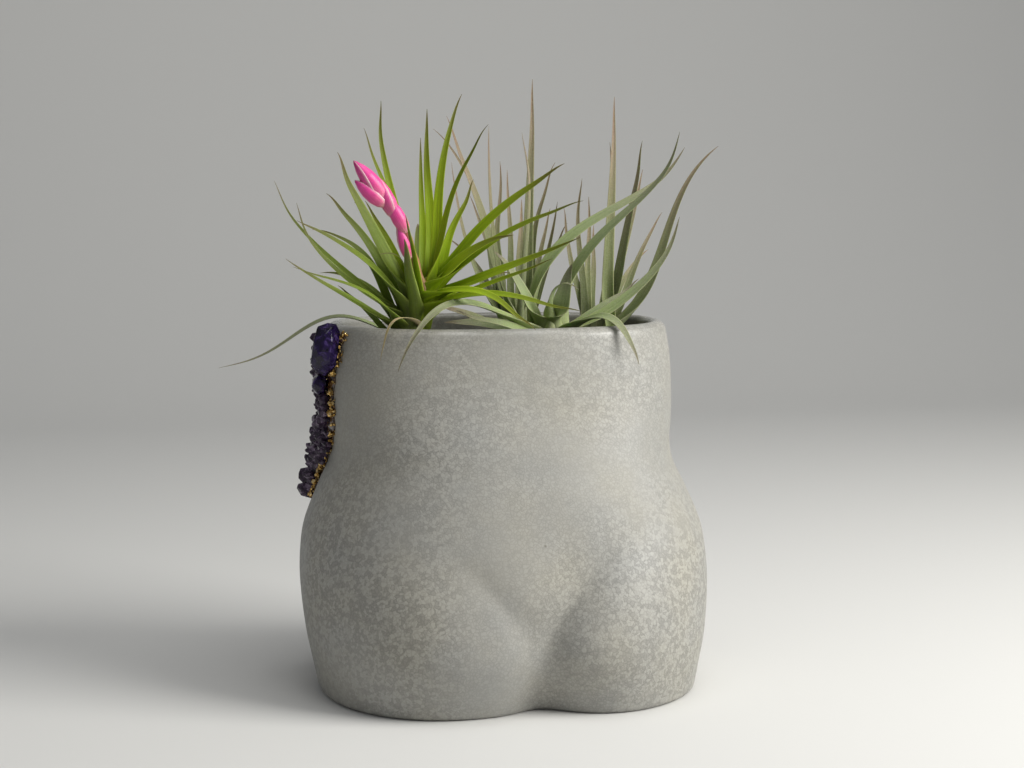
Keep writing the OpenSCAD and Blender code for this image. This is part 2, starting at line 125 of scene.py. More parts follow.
def profile(values, z):
    """A smooth curve through the values at the body's levels."""
    z = np.asarray(z, float)
    x = np.array(LEVELS, float)
    v = np.array(values, float)
    after = np.minimum(np.arange(len(x)) + 1, len(x) - 1)
    before = np.maximum(np.arange(len(x)) - 1, 0)
    slope = (v[after] - v[before]) / (x[after] - x[before])
    i = np.clip(np.searchsorted(x, z, side="right") - 1, 0, len(x) - 2)
    h = x[i + 1] - x[i]
    t = (z - x[i]) / h
    return ((1 + 2 * t) * (1 - t) ** 2 * v[i] + t * (1 - t) ** 2 * h * slope[i]
            + t * t * (3 - 2 * t) * v[i + 1] + t * t * (t - 1) * h * slope[i + 1])


def from_middle(x):
    """Distance to the middle plane, rounded where it changes side."""
    return np.sqrt(x * x + 9) - 3


def front_relief(x, z):
    """Notch between the thighs, swell of the thighs, the two groin lines and the mound between
    them. The notch is shallower and wider on the left of the middle."""
    side = from_middle(x)
    left = 1 - ramp(-20, 16, x)
    shallower = 1 - (1 - NOTCH_LEFT) * left * (2 + ramp(0, 30, z)) / 3
    deep = NOTCH_D * np.clip(1 - z / NOTCH_TOP, 0, 1) ** 1.5 * shallower
    above = GROIN_ROUND * np.log1p(np.exp((z - GROIN_Z) / GROIN_ROUND))
    flat = np.maximum(0, GROIN_SLOPE * above - 0.2)
    wide = (1 - 0.4 * ramp(0, 30, z) + 1.1 * ramp(54, 84, z)) * (0.7 + 0.6 * left)
    far = np.maximum(side - flat, 0) / (NOTCH_W * wide)
    off_line = (side - GROIN_SLOPE * (z - GROIN_Z)) / math.sqrt(1 + GROIN_SLOPE ** 2)
    return (-deep * np.exp(-far ** NOTCH_ROUND) + THIGH_D * bell((side - 40) / 26) * bell((z - 34) / 34)
            + MOUND_D * bell(x / 17) * bell((z - 52) / 18)
            - GROOVE_D * bell(off_line / GROOVE_W) * ramp(8, 34, z) * (1 - ramp(48, 74, z)))


def back_relief(x, z):
    """Buttocks, cleft, folds and the notch between the thighs."""
    side = from_middle(x)
    away = ((side - BUTTOCK_X) / BUTTOCK_R) ** 2 + ((z - BUTTOCK_Z) / BUTTOCK_R) ** 2
    fold_z = 27 + 6 * ((side - BUTTOCK_X) / 30) ** 2
    return (BUTTOCK_D * np.exp(-away ** 1.25)
            - CLEFT_D * bell(x / 8) * ramp(10, 34, z) * (1 - ramp(88, 120, z))
            - FOLD_D * bell((z - fold_z) / 9) * (1 - ramp(55, 76, side)) * ramp(4, 18, side)
            - BACK_NOTCH_D * bell(x / 20) * (1 - ramp(6, 46, z)))


def body_point(angle, z, inset=0.0):
    """Points of the body's skin at an angle in radians and a height, moved in by inset."""
    angle, z, inset = np.broadcast_arrays(np.asarray(angle, float), np.asarray(z, float), inset)
    power = 2 / SQUARENESS
    mid = LEAN * z / POT_H
    c, s = np.cos(angle), np.sin(angle)
    x = (profile(SIDE, z) - inset) * np.sign(c) * np.abs(c) ** power
    q = np.abs(s) ** power
    fade = ramp(0, 0.35, np.abs(s))
    front = mid - (profile(FRONT, z) - inset + mid) * q - front_relief(x, z) * fade
    back = mid + (profile(BACK, z) - inset - mid) * q + back_relief(x, z) * fade
    return np.stack([x, np.where(s < 0, front, back), z], -1)


# Meshes

def turn_outwards(mesh):
    shell = bmesh.new()
    shell.from_mesh(mesh)
    bmesh.ops.recalc_face_normals(shell, faces=shell.faces)
    shell.to_mesh(mesh)
    shell.free()
    mesh.shade_smooth()


def mesh_from(verts, faces):
    """A smooth mesh in metres from millimetre points, with its faces pointing outwards."""
    mesh = bpy.data.meshes.new("mesh")
    mesh.from_pydata((np.asarray(verts, float) * MM).tolist(), [], [list(f) for f in faces])
    turn_outwards(mesh)
    return mesh


def joined(parts):
    """One mesh with flat facets from several, which are used up."""
    whole = bmesh.new()
    for part in parts:
        whole.from_mesh(part)
        bpy.data.meshes.remove(part)
    mesh = bpy.data.meshes.new("mesh")
    whole.to_mesh(mesh)
    whole.free()
    mesh.shade_flat()
    return mesh


def strip_faces(rows, n, closed=True):
    """Faces between rows of n points, where a closed row joins its end to its start."""
    return [[j * n + i, j * n + (i + 1) % n, (j + 1) * n + (i + 1) % n, (j + 1) * n + i]
            for j in range(rows - 1) for i in range(n if closed else n - 1)]


def loft(rings):
    """Points and faces of a closed skin over rings of equally many points."""
    rings = [np.asarray(r, float) for r in rings]
    n = len(rings[0])
    low = len(rings) * n
    top = low - n
    faces = strip_faces(len(rings), n)
    faces += [[(i + 1) % n, i, low] for i in range(n)]
    faces += [[top + i, top + (i + 1) % n, low + 1] for i in range(n)]
    points = np.concatenate(rings + [rings[0].mean(0)[None], rings[-1].mean(0)[None]])
    return points, faces


def store(mesh, **layers):
    """Keeps numbers or vectors at a mesh's points as attributes."""
    for title, values in layers.items():
        values = np.array(values, float)
        kind, field = ("FLOAT_VECTOR", "vector") if values.ndim == 2 else ("FLOAT", "value")
        mesh.attributes.new(title, kind, "POINT").data.foreach_set(field, values.ravel())


def shown(name, mesh, material):
    """Puts a mesh with its material in the scene."""
    mesh.materials.clear()
    mesh.materials.append(material)
    thing = bpy.data.objects.new(name, mesh)
    bpy.context.scene.collection.objects.link(thing)
    return thing


def piece(name, mesh, body, slot, material, *nodes):
    """A mesh as a piece of the planter that rides on a body and stands for CAD nodes."""
    mesh.name = name
    thing = shown(name, mesh, material)
    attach(thing, body)
    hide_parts(*nodes)


# Nodes

def srgb(code):
    """Linear colour of an sRGB hex value."""
    parts = [int(code[i:i + 2], 16) / 255 for i in (1, 3, 5)]
    return [p / 12.92 if p <= 0.04045 else ((p + 0.055) / 1.055) ** 2.4 for p in parts] + [1.0]


def feed(tree, target, inputs):
    """Fills a node's inputs, from a dict or in order from a list: sockets are linked, a node
    stands for its first output, and the rest are values."""
    for key, value in inputs.items() if isinstance(inputs, dict) else enumerate(inputs):
        source = value.outputs[0] if isinstance(value, bpy.types.Node) else value
        if isinstance(source, bpy.types.NodeSocket):
            tree.links.new(source, target.inputs[key])
        else:
            target.inputs[key].default_value = source


def node(tree, kind, inputs=(), stops=(), **settings):
    """Adds one node by its kind without the family's name, with its inputs, ramp stops and
    settings."""
    family = next(f for f in ("Shader", "Geometry", "Function", "") if hasattr(bpy.types, f"{f}Node{kind}"))
    new = tree.nodes.new(f"{family}Node{kind}")
    for key, value in settings.items():
        setattr(new, key, value)
    feed(tree, new, inputs)
    for i, (place, colour) in enumerate(stops):
        stop = new.color_ramp.elements[i] if i < 2 else new.color_ramp.elements.new(place)
        stop.position = place
        stop.color = srgb(colour)
    return new


def maths(tree, operation, *values, **settings):
    return node(tree, "Math", values, operation=operation, **settings)


def scaled(tree, vector, amount):
    return node(tree, "VectorMath", {0: vector, "Scale": amount}, operation="SCALE")


def mapped(tree, value, *ranges):
    """A value brought from the range read to the range given."""
    return node(tree, "MapRange", [value, *ranges])


def mixed(tree, share, under, over):
    """One colour under a share of another."""
    return node(tree, "Mix", {0: share, 6: under, 7: over}, data_type="RGBA").outputs[2]


def noise(tree, place, size, **more):
    """Noise with lumps about size mm across."""
    return node(tree, "TexNoise", {"Vector": place, "Scale": 1 / (size * MM), **more})


def cells(tree, place, size, feature="F1"):
    """Cells about size mm across."""
    return node(tree, "TexVoronoi", {"Vector": place, "Scale": 1 / (size * MM)}, feature=feature)


def bumps(tree, height, distance, strength):
    return node(tree, "Bump", {"Height": height, "Distance": distance, "Strength": strength})


def material_named(name, **constants):
    """A new material, its tree and its shader, with constants on the shader's own sockets."""
    material = bpy.data.materials.new(name)
    material.use_nodes = True
    tree = material.node_tree
    shader = tree.nodes["Principled BSDF"]
    feed(tree, shader, {key.replace("_", " "): value for key, value in constants.items()})
    return material, tree, shader


def tree_named(name, **inputs):
    """A new geometry tree with a mesh going in and out and further named inputs."""
    tree = bpy.data.node_groups.new(name, "GeometryNodeTree")
    tree.interface.new_socket("Geometry", in_out="INPUT", socket_type="NodeSocketGeometry")
    for title, kind in inputs.items():
        tree.interface.new_socket(title.replace("_", " "), in_out="INPUT", socket_type="NodeSocket" + kind)
    tree.interface.new_socket("Geometry", in_out="OUTPUT", socket_type="NodeSocketGeometry")
    return tree, node(tree, "GroupInput").outputs


def grow(mesh, tree, **inputs):
    """Runs a geometry tree on a mesh and returns the plain mesh that comes out."""
    thing = bpy.data.objects.new("seed", mesh)
    bpy.context.scene.collection.objects.link(thing)
    live = thing.modifiers.new("grow", "NODES")
    live.node_group = tree
    names = {s.name: s.identifier for s in tree.interface.items_tree if s.in_out == "INPUT"}
    for title, value in inputs.items():
        live[names[title.replace("_", " ")]] = value
    bpy.context.view_layer.update()
    ready = thing.evaluated_get(bpy.context.evaluated_depsgraph_get())
    result = bpy.data.meshes.new_from_object(ready)
    thing.modifiers.remove(live)
    bpy.data.objects.remove(thing)
    return result


# Materials

# Tones of the glaze from its hollows to its mottles, and of the pinholes: the body under the glaze, darkened
# as painted shade inside the hole
GLAZE = ("#95948f", "#98968f", "#9b988e")
PINHOLE_BODY_AND_SHADE = "#5e584d"
# How far the glaze's cells are bent out of shape, in metres
GLAZE_WARP = (0.0022, 0.0022, 0.0022)
HALF = (0.5, 0.5, 0.5)


def speckled_glaze():
    """Stoneware with a semi-matte reactive glaze: warm grey, broken into paler cells about
    1.5 mm across with thin darker lines between them. On the hips the cells run together into
    pale flakes, in other places they almost vanish, and a few pinholes are painted dark: the body under the
    glaze and painted shade inside the hole."""
    material, tree, shader = material_named("speckled_stoneware_glaze", IOR=1.5)
    place = node(tree, "TexCoord").outputs["Object"]
    drift = noise(tree, place, 2.381)
    shift = node(tree, "VectorMath", [drift.outputs["Color"], HALF], operation="SUBTRACT")
    warped = node(tree, "VectorMath", [shift, GLAZE_WARP, place], operation="MULTIPLY_ADD")
    region = noise(tree, place, 58.824)
    cloud = noise(tree, place, 38.462, Detail=3.0, Roughness=0.55)
    flake = noise(tree, place, 3.3333)
    vein = cells(tree, warped, 1.5625, "DISTANCE_TO_EDGE")
    cell = cells(tree, warped, 1.5625)
    luck = node(tree, "SeparateColor", [cell.outputs["Color"]])
    drawn = maths(tree, "MULTIPLY_ADD", flake, 2.0, luck)
    tone = node(tree, "ValToRGB", [cloud], [(0.32, GLAZE[0]), (0.7, GLAZE[2]), (0.5, GLAZE[1])])

    # Flakes grow towards the hips and fade towards the waist
    parts = node(tree, "SeparateXYZ", [place]).outputs
    out = maths(tree, "ABSOLUTE", parts["X"])
    hips = mapped(tree, out, 0.024, 0.062, -0.06, 0.21)
    low = mapped(tree, parts["Z"], 0.078, 0.122, 1.0, -0.5)
    lift = maths(tree, "MULTIPLY_ADD", hips, low, region)
    flaky = mapped(tree, lift, 0.42, 0.66, 0.3, 1.4)

    # Lines between the cells, flakes and the finest grain add up to one level
    netted = mapped(tree, region, 0.34, 0.56, 0.5, 1.0)
    line = mapped(tree, vein, 0.02, 0.2, -0.14, 0.035)
    lines = maths(tree, "MULTIPLY", line, netted)
    patch = mapped(tree, drawn, 1.3, 1.65, -0.09, 0.1)
    both = maths(tree, "MULTIPLY_ADD", patch, flaky, lines)
    grain = noise(tree, place, 0.625)
    fine = mapped(tree, grain, 0.3, 0.7, 0.975, 1.025)
    level = maths(tree, "ADD", both, fine)
    toned = scaled(tree, tone, level)
    # Pinholes: spots of the body's colour, made darker as painted shade inside the hole.
    pits = cells(tree, place, 29.412)
    pit = mapped(tree, pits, 0.012, 0.02, 0.6, 0.0)
    colour = mixed(tree, pit, toned, srgb(PINHOLE_BODY_AND_SHADE))

    # The glaze is thicker and glossier on the lip
    rough = mapped(tree, cloud, 0.35, 0.65, 0.52, 0.64)
    lip = mapped(tree, parts["Z"], 0.1525, 0.157, 1.0, 0.36)
    glossy = maths(tree, "MULTIPLY", rough, lip)
    bump = bumps(tree, both, 0.0002, 0.5)
    feed(tree, shader, {"Base Color": colour, "Roughness": glossy, "Normal": bump})
    return material


def cast_resin():
    """Dark epoxy with gold dust stirred in: glossy, almost black brown, with paler swirls."""
    material, tree, shader = material_named("dark_epoxy_resin", IOR=1.55, Roughness=0.16, Coat_Weight=0.6,
                                            Coat_Roughness=0.08)
    place = node(tree, "TexCoord").outputs["Object"]
    swirl = noise(tree, place, 4.1667, Detail=5.0, Distortion=1.2)
    dust = cells(tree, place, 0.90909)
    tone = node(tree, "ValToRGB", [swirl], [(0.35, "#1a0f0a"), (0.75, "#94703e"), (0.55, "#472c18")])
    fleck = mapped(tree, dust, 0.15, 0.25, 0.8, 0.0)
    colour = mixed(tree, fleck, tone, srgb("#c9a565"))
    bump = bumps(tree, swirl, 0.0006, 0.7)
    feed(tree, shader, {"Base Color": colour, "Metallic": fleck, "Normal": bump})
    return material


def broken_amethyst(name, dark, mid, pale, zone_size):
    """Natural quartz broken along its facets: glassy, near black where thick, with milky
    lilac zones and fine growth lines of about a millimetre."""
    material, tree, shader = material_named(name, IOR=1.4, Roughness=0.16)
    place = node(tree, "TexCoord").outputs["Object"]
    zone = noise(tree, place, zone_size, Detail=4.0, Roughness=0.65, Distortion=0.8)
    tone = node(tree, "ValToRGB", [zone], [(0.32, dark), (0.72, pale), (0.55, mid)])
    line = noise(tree, place, 1.1111)
    bump = bumps(tree, line, 0.00025, 0.5)
    feed(tree, shader, {"Base Color": tone, "Normal": bump})
    return material


def gold_nugget():
    """Brass-gold chips: bright pale metal with duller hollows."""
    material, tree, shader = material_named("pale_gold_chips", Metallic=1.0)
    place = node(tree, "TexCoord").outputs["Object"]
    wear = noise(tree, place, 1.1111, Detail=3.0)
    tone = node(tree, "ValToRGB", [wear], [(0.3, "#7a5a2c"), (0.65, "#ecd6a2"), (0.48, "#c8a25c")])
    rough = mapped(tree, wear, 0.3, 0.7, 0.42, 0.2)
    feed(tree, shader, {"Base Color": tone, "Roughness": rough})
    return material


def crushed_stone():
    """Crushed lava grit: dull dark brown-grey grains, each of its own tone, pitted."""
    material, tree, shader = material_named("crushed_lava_grit", Roughness=0.9)
    place = node(tree, "TexCoord").outputs["Object"]
    grain = cells(tree, place, 3.8462)
    pore = noise(tree, place, 0.66667, Detail=4.0)
    tint = node(tree, "SeparateColor", [grain.outputs["Color"]])
    tone = node(tree, "ValToRGB", [tint], [(0.0, "#2b2520"), (1.0, "#7d7264"), (0.55, "#4a4239")])
    dark = mapped(tree, pore, 0.3, 0.6, 0.6, 1.1)
    colour = scaled(tree, tone, dark)
    bump = bumps(tree, pore, 0.0003, 0.8)
    feed(tree, shader, {"Base Color": colour, "Normal": bump})
    return material


# The haze of scales on an air plant's leaf, and how its pattern is stretched lengthwise
SCALE_HAZE = "#adb196"
LEAF_STRETCH = (5.0, 2.2, 40.0)
BRACT_STRETCH = (22.0, 1.6, 1.0)


def along_and_across(tree, *more):
    """Where a point lies along its leaf or bract and across it, and what else its mesh carries."""
    titles = ("along", "across", *more)
    return [node(tree, "Attribute", attribute_name=title).outputs["Fac"] for title in titles]


def living_leaf(name, base, blade, tip, margin, scales, rough=0.5):
    """An air plant's leaf: its base colour at the sheathing base (darkened as painted shade of the
    crowded crown on the green and olive leaves), its own green along the blade and dry at the tip,
    striped lengthwise, with a haze of tiny silver scales that dulls it, thicker on its under face."""
    material, tree, shader = material_named(name, Roughness=rough, IOR=1.33, Subsurface_Weight=0.12,
                                            Subsurface_Scale=0.002, Subsurface_Radius=(0.6, 1.0, 0.2))
    place = node(tree, "TexCoord").outputs["Object"]
    along, across, tint, under = along_and_across(tree, "tint", "lens")
    strip = node(tree, "CombineXYZ", [across, along, tint])
    stretch = node(tree, "VectorMath", [strip, LEAF_STRETCH], operation="MULTIPLY")
    stripes = node(tree, "TexNoise", {"Vector": stretch, "Scale": 1.0, "Detail": 4.0, "Roughness": 0.7})
    wander = mapped(tree, stripes, 0.3, 0.7, -0.07, 0.07)
    moved = maths(tree, "ADD", along, wander)
    # The first stop is the sheathing base; on the green and olive leaves its colour is darkened as painted
    # shade of the crowded crown.
    tone = node(tree, "ValToRGB", [moved],
                [(0.02, base), (0.97, tip), (0.16, blade[0]), (0.5, blade[1]), (0.84, blade[2])])
    edge = maths(tree, "POWER", across, 2.0)
    edge_part = mapped(tree, edge, 0.55, 1.0, 0.0, 0.55)
    edged = mixed(tree, edge_part, tone, srgb(margin))
    banded = mapped(tree, stripes, 0.3, 0.7, 0.72, 1.22)
    varied = mapped(tree, tint, 0.0, 1.0, 0.85, 1.12)
    level = maths(tree, "MULTIPLY", banded, varied)
    striped = scaled(tree, edged, level)
    haze = noise(tree, place, 0.76923, Detail=3.0, Roughness=0.7)
    thicker = mapped(tree, under, -0.4, 0.2, scales * 0.5, 0.0)
    speck = mapped(tree, haze, 0.4, 0.68, scales * 0.35, scales)
    hazed = maths(tree, "ADD", speck, thicker)
    colour = mixed(tree, hazed, striped, srgb(SCALE_HAZE))
    height = maths(tree, "ADD", stripes, haze)
    bump = bumps(tree, height, 0.00025, 0.5)
    feed(tree, shader, {"Base Color": colour, "Normal": bump})
    return material


def waxy_bract():
    """A fresh pink bract: deep pink along its back, paler and slightly glassy at its base and
    margins, whose near-white also paints the highlight on overlapping edges, with fine lengthwise veins."""
    material, tree, shader = material_named("fresh_pink_bract", Roughness=0.38, IOR=1.45, Coat_Weight=0.15,
                                            Coat_Roughness=0.3, Subsurface_Weight=0.25,
                                            Subsurface_Scale=0.002, Subsurface_Radius=(1.0, 0.3, 0.5))
    along, across = along_and_across(tree)
    strip = node(tree, "CombineXYZ", [across, along])
    stretch = node(tree, "VectorMath", [strip, BRACT_STRETCH], operation="MULTIPLY")
    veins = node(tree, "TexNoise", {"Vector": stretch, "Scale": 1.0, "Detail": 4.0})
    tone = node(tree, "ValToRGB", [along], [(0.0, "#d8a8a0"), (1.0, "#c42c78"), (0.18, "#e0628e"),
                                            (0.45, "#e0428e"), (0.8, "#e24a98")])
    # Near-white margins: the bract's paler edge and a painted highlight where the bracts overlap.
    edge = maths(tree, "POWER", across, 4.0)
    edge_part = mapped(tree, edge, 0.5, 1.0, 0.0, 0.75)
    edged = mixed(tree, edge_part, tone, srgb("#f6dcd8"))
    banded = mapped(tree, veins, 0.3, 0.7, 0.82, 1.16)
    colour = scaled(tree, edged, banded)
    bump = bumps(tree, veins, 0.0003, 0.5)
    feed(tree, shader, {"Base Color": colour, "Normal": bump})
    return material


glaze = speckled_glaze()
resin = cast_resin()
amethyst = broken_amethyst("dark_amethyst", "#09060f", "#21123e", "#584680", 3.8462)
smoky_quartz = broken_amethyst("smoky_quartz_points", "#16101a", "#3e2e42", "#96869a", 2.7778)
gold = gold_nugget()
grit = crushed_stone()
# The green and olive base colours are darkened as painted shade where the leaves crowd at the crown; the
# other bases are their own pale tones.
green_blade = living_leaf("green_air_plant_leaf", "#707f1e", ("#7a9202", "#869e02", "#62680c"),
                          "#48321e", "#a9b834", 0.015)
# The olive leaf is a darker copy of the green one for the left and back of the flowering plant: more scale
# haze for their under faces, and darker green as painted shade on the side away from the key lamp.
olive_hazed_shaded_blade = living_leaf("olive_leaf_with_painted_shade", "#586228", ("#5c6e0c", "#64780e", "#565a1c"),
                          "#543c26", "#96a444", 0.07)
silver_blade = living_leaf("silver_scaled_leaf", "#b8c084", ("#84964a", "#80905a", "#7a775e"),
                           "#604a42", "#aaa682", 0.32, 0.6)
grey_blade = living_leaf("grey_scaled_leaf", "#8c9460", ("#68763c", "#72764a", "#826a5a"),
                         "#704a40", "#9c9676", 0.28, 0.6)
dry_blade = living_leaf("dried_leaf", "#a8956c", ("#b8a478", "#b09a70", "#9a8560"),
                        "#8a7350", "#cbb98e", 0.25, 0.7)
stalk_skin = living_leaf("flower_stalk_skin", "#8c7a44", ("#9c6a4c", "#b4605c", "#c8586c"),
                         "#cc5474", "#c08a78", 0.08)
pink_bract = waxy_bract()

# The pot: outer wall, rolled lip, inner wall and floor in one skin. The points round it gather
# at the sides, where the squarish section bends most
AROUND = 288
CROWDING = math.radians(14.3)
OUTER_RINGS = 130
INNER_RINGS = 40
HAIR = 0.02
turns = np.arange(AROUND) / AROUND * 2 * math.pi
turns = turns + CROWDING * np.sin(2 * turns)
lip_in = WALL - LIP_R
rings = []
for a in np.radians([0, 22, 45, 67]):
    ring = body_point(turns, HAIR + FOOT_R * (1 - math.cos(a)), FOOT_R * (1 - math.sin(a)))
    ring[:, 2] = np.maximum(ring[:, 2] - HAIR, 0)
    rings.append(ring)
rings += [body_point(turns, z) for z in np.linspace(FOOT_R, POT_H - LIP_R, OUTER_RINGS)]
rings += [body_point(turns, POT_H - LIP_R + LIP_R * math.sin(a), LIP_R * (1 - math.cos(a)))
          for a in np.radians(np.arange(9, 91, 9))]
rings += [body_point(turns, POT_H - lip_in + lip_in * math.cos(a), LIP_R + lip_in * math.sin(a))
          for a in np.radians(np.arange(15, 91, 15))]
rings += [body_point(turns, z, WALL) for z in np.linspace(POT_H - lip_in - 2, FLOOR + INNER_R, INNER_RINGS)]
rings += [body_point(turns, FLOOR + INNER_R * (1 - math.sin(a)), WALL + INNER_R * (1 - math.cos(a)))
          for a in np.radians([30, 60, 90])]
points, faces = loft(rings)
# The last two points are the middles of the foot and of the floor
points[-2] = (0, 0, 0)
points[-1] = (0, 0, FLOOR)
piece("glazed_pot", mesh_from(points, faces), "pot", "speckled_ceramic", glaze, "pot_shell")

# The trim on the left side. A place on it is v, from -1 at its front edge to 1 at its back
# edge, and its height z
TRIM_TOP = 155.0
TRIM_LOW = 77.0
TRIM_FRONT_Y = -5
TRIM_BACK_Y = 49


def side_point(y, z):
    """A point of the left side at y and z."""
    y, z = np.broadcast_arrays(np.asarray(y, float), np.asarray(z, float))
    mid = LEAN * z / POT_H
    power = SQUARENESS / 2
    back = np.arcsin(np.clip((y - mid) / (profile(BACK, z) - mid), 0, 1) ** power)
    front = np.arcsin(np.clip((mid - y) / (profile(FRONT, z) + mid), 0, 1) ** power)
    return body_point(np.where(y > mid, math.pi - back, math.pi + front), z)


def trim_side(v, z):
    """How far back a place on the trim lies: its front edge swings back below the waist."""
    front = (TRIM_FRONT_Y + 3.5 * (1 - ramp(130, 150, z)) + 30 * (1 - ramp(86, 118, z))
             + 0.6 * np.sin(np.radians(z * 37)))
    back = TRIM_BACK_Y - 6 * (1 - ramp(83, 130, z)) + 1.5 * np.sin(np.radians(z * 29))
    return front + (back - front) * (v + 1) / 2


def trim_place(v, z):
    return side_point(trim_side(v, z), z)


def trim_out(v, z):
    """Direction out of the wall at a place on the trim."""
    y = trim_side(v, z)
    rise = side_point(y, z + 1) - side_point(y, z - 1)
    run = side_point(y + 1, z) - side_point(y - 1, z)
    return unit(np.cross(rise, run))


# The resin bed under the stones: thickest in its middle, with a low lumpy surface
BED_ACROSS = 60
BED_UP = 110
RESIN_T = 2.2
RESIN_EDGE = 0.5
bed_rings = []
v = np.linspace(-1, 1, BED_ACROSS)
for t in np.arange(BED_UP) / (BED_UP - 1):
    z = np.full(BED_ACROSS, TRIM_LOW + (TRIM_TOP - TRIM_LOW) * t)
    base, out = trim_place(v, z), trim_out(v, z)
    thick = RESIN_EDGE + (RESIN_T - RESIN_EDGE) * (1 - v ** 4) * ramp(0, 0.15, t) * ramp(0, 0.1, 1 - t)
    thick = thick + 0.35 * lump(base, 5.0, 1.0) * (1 - v ** 4)
    bed_rings.append(np.concatenate([base + 0.05 * out, (base + thick[:, None] * out)[::-1]]))
points, faces = loft(bed_rings)
piece("resin_trim", mesh_from(points, faces), "pot", "dark_resin", resin, "resin_bed")


def hull_mesh(clouds, bevel):
    """One mesh of the convex hulls of point clouds, with bevelled edges and flat facets."""
    parts = []
    for cloud in clouds:
        one = bmesh.new()
        for p in cloud:
            one.verts.new(Vector(p) * MM)
        made = bmesh.ops.convex_hull(one, input=one.verts)
        spare = [g for g in made["geom_interior"] + made["geom_unused"] if isinstance(g, bmesh.types.BMVert)]
        bmesh.ops.delete(one, geom=list(set(spare)), context="VERTS")
        bmesh.ops.dissolve_limit(one, angle_limit=0.06, verts=one.verts, edges=one.edges)
        bmesh.ops.bevel(one, geom=one.edges[:], offset=bevel * MM, offset_type="OFFSET", segments=1,
                        affect="EDGES", clamp_overlap=True)
        bmesh.ops.recalc_face_normals(one, faces=one.faces)
        part = bpy.data.meshes.new("part")
        one.to_mesh(part)
        one.free()
        parts.append(part)
    return joined(parts)


# The two stones: place on the trim, size, and how far their middle stands off the wall
LARGE_V, LARGE_Z, LARGE_SIZE, LARGE_LIFT = -0.86, 148.0, (6.9, 6.9, 12.2), 4.9
BEAD_V, BEAD_Z, BEAD_SIZE, BEAD_LIFT = -0.72, 132.6, (4.0, 4.2, 4.6), 4.5
STONE_GAP = 1.2
GOLDEN_ANGLE = 137.508
# The low gold cluster lies in front of CLUSTER_V, between these two heights
CLUSTER_V, CLUSTER_LOW, CLUSTER_HIGH = -0.45, 81, 94


def stone_cloud(v, z, size, lift, seed, count):
    """Points over an ellipsoid that stands off the wall, flattened towards it."""
    out = trim_out(v, z)
    side = unit(np.cross([0, 0, 1], out))
    up = np.cross(out, side)
    cloud = []
    for k in range(count):
        h = 1 - 2 * (k + 0.5) / count
        turn = math.radians(GOLDEN_ANGLE * k + 40 * chance(k, seed))
        r = math.sqrt(1 - h * h)
        s = 0.86 + 0.2 * chance(k, seed + 1)
        off = max(STONE_GAP, lift + s * size[0] * r * math.cos(turn))
        cloud.append(trim_place(v, z) + off * out + s * size[1] * r * math.sin(turn) * side
                     + s * size[2] * h * up)
    return cloud


large = hull_mesh([stone_cloud(LARGE_V, LARGE_Z, LARGE_SIZE, LARGE_LIFT, 3, 34)], 0.2)
piece("amethyst_at_the_lip", large, "pot", "amethyst", amethyst, "amethyst_large")
bead = hull_mesh([stone_cloud(BEAD_V, BEAD_Z, BEAD_SIZE, BEAD_LIFT, 8, 40)], 0.25)
piece("amethyst_bead", bead, "pot", "amethyst", amethyst, "amethyst_round")


def points_rise(z):
    """How far the points stand off the wall: most in the hollow of the waist."""
    return 5.4 + 5 * (1 - ramp(98, 120, z)) * ramp(74, 86, z)


def quartz_z(t):
    """Height of a crystal at a share t of the trim's length."""
    return TRIM_LOW + 3 + (TRIM_TOP - 5 - TRIM_LOW - 3) * t


def quartz_cloud(at, way, r, length, turn, blunt):
    """A six-sided crystal standing along way, its point broken off to one side."""
    side = unit(np.cross(way, [0.3, 0.2, 1]))
    other = np.cross(way, side)
    cloud = []
    for h, w in ((0, 0.92), (0.62, 1), (1, blunt)):
        for k in range(6):
            a = math.radians(60 * k + turn)
            corner = w * r * (1 + 0.16 * math.cos(3 * a)) * (math.cos(a) * side + math.sin(a) * other)
            cloud.append(at + corner + way * length * (h - 0.1 * blunt * math.cos(a + turn) * (h == 1)))
    return cloud


def quartz_at(k, t, v, size, share):
    """One crystal of the trim, from its number, its place and its size."""
    z = quartz_z(t)
    out = trim_out(v, z)
    way = unit(out + 0.7 * np.array([0, chance(k, 3) - 0.5, chance(k, 4) - 0.4]))
    long = float(points_rise(z)) * share * (0.75 + 0.35 * chance(k, 5))
    blunt = 0.12 + 0.5 * chance(k, 7)
    return quartz_cloud(trim_place(v, z) + 1.2 * out, way, size, long, 60 * chance(k, 6), blunt)


def free_of_stones(v, t, room):
    """Whether a crystal at this place leaves the two stones and the low gold cluster free."""
    z = quartz_z(t)
    place = trim_place(v, z)
    stones = ((BEAD_V, BEAD_Z), (LARGE_V, LARGE_Z - 6), (LARGE_V, LARGE_Z + 6))
    near_stone = min(np.linalg.norm(place - trim_place(*stone)) for stone in stones) < room
    in_gold = v < CLUSTER_V and CLUSTER_LOW < z < CLUSTER_HIGH
    return not (near_stone or in_gold)


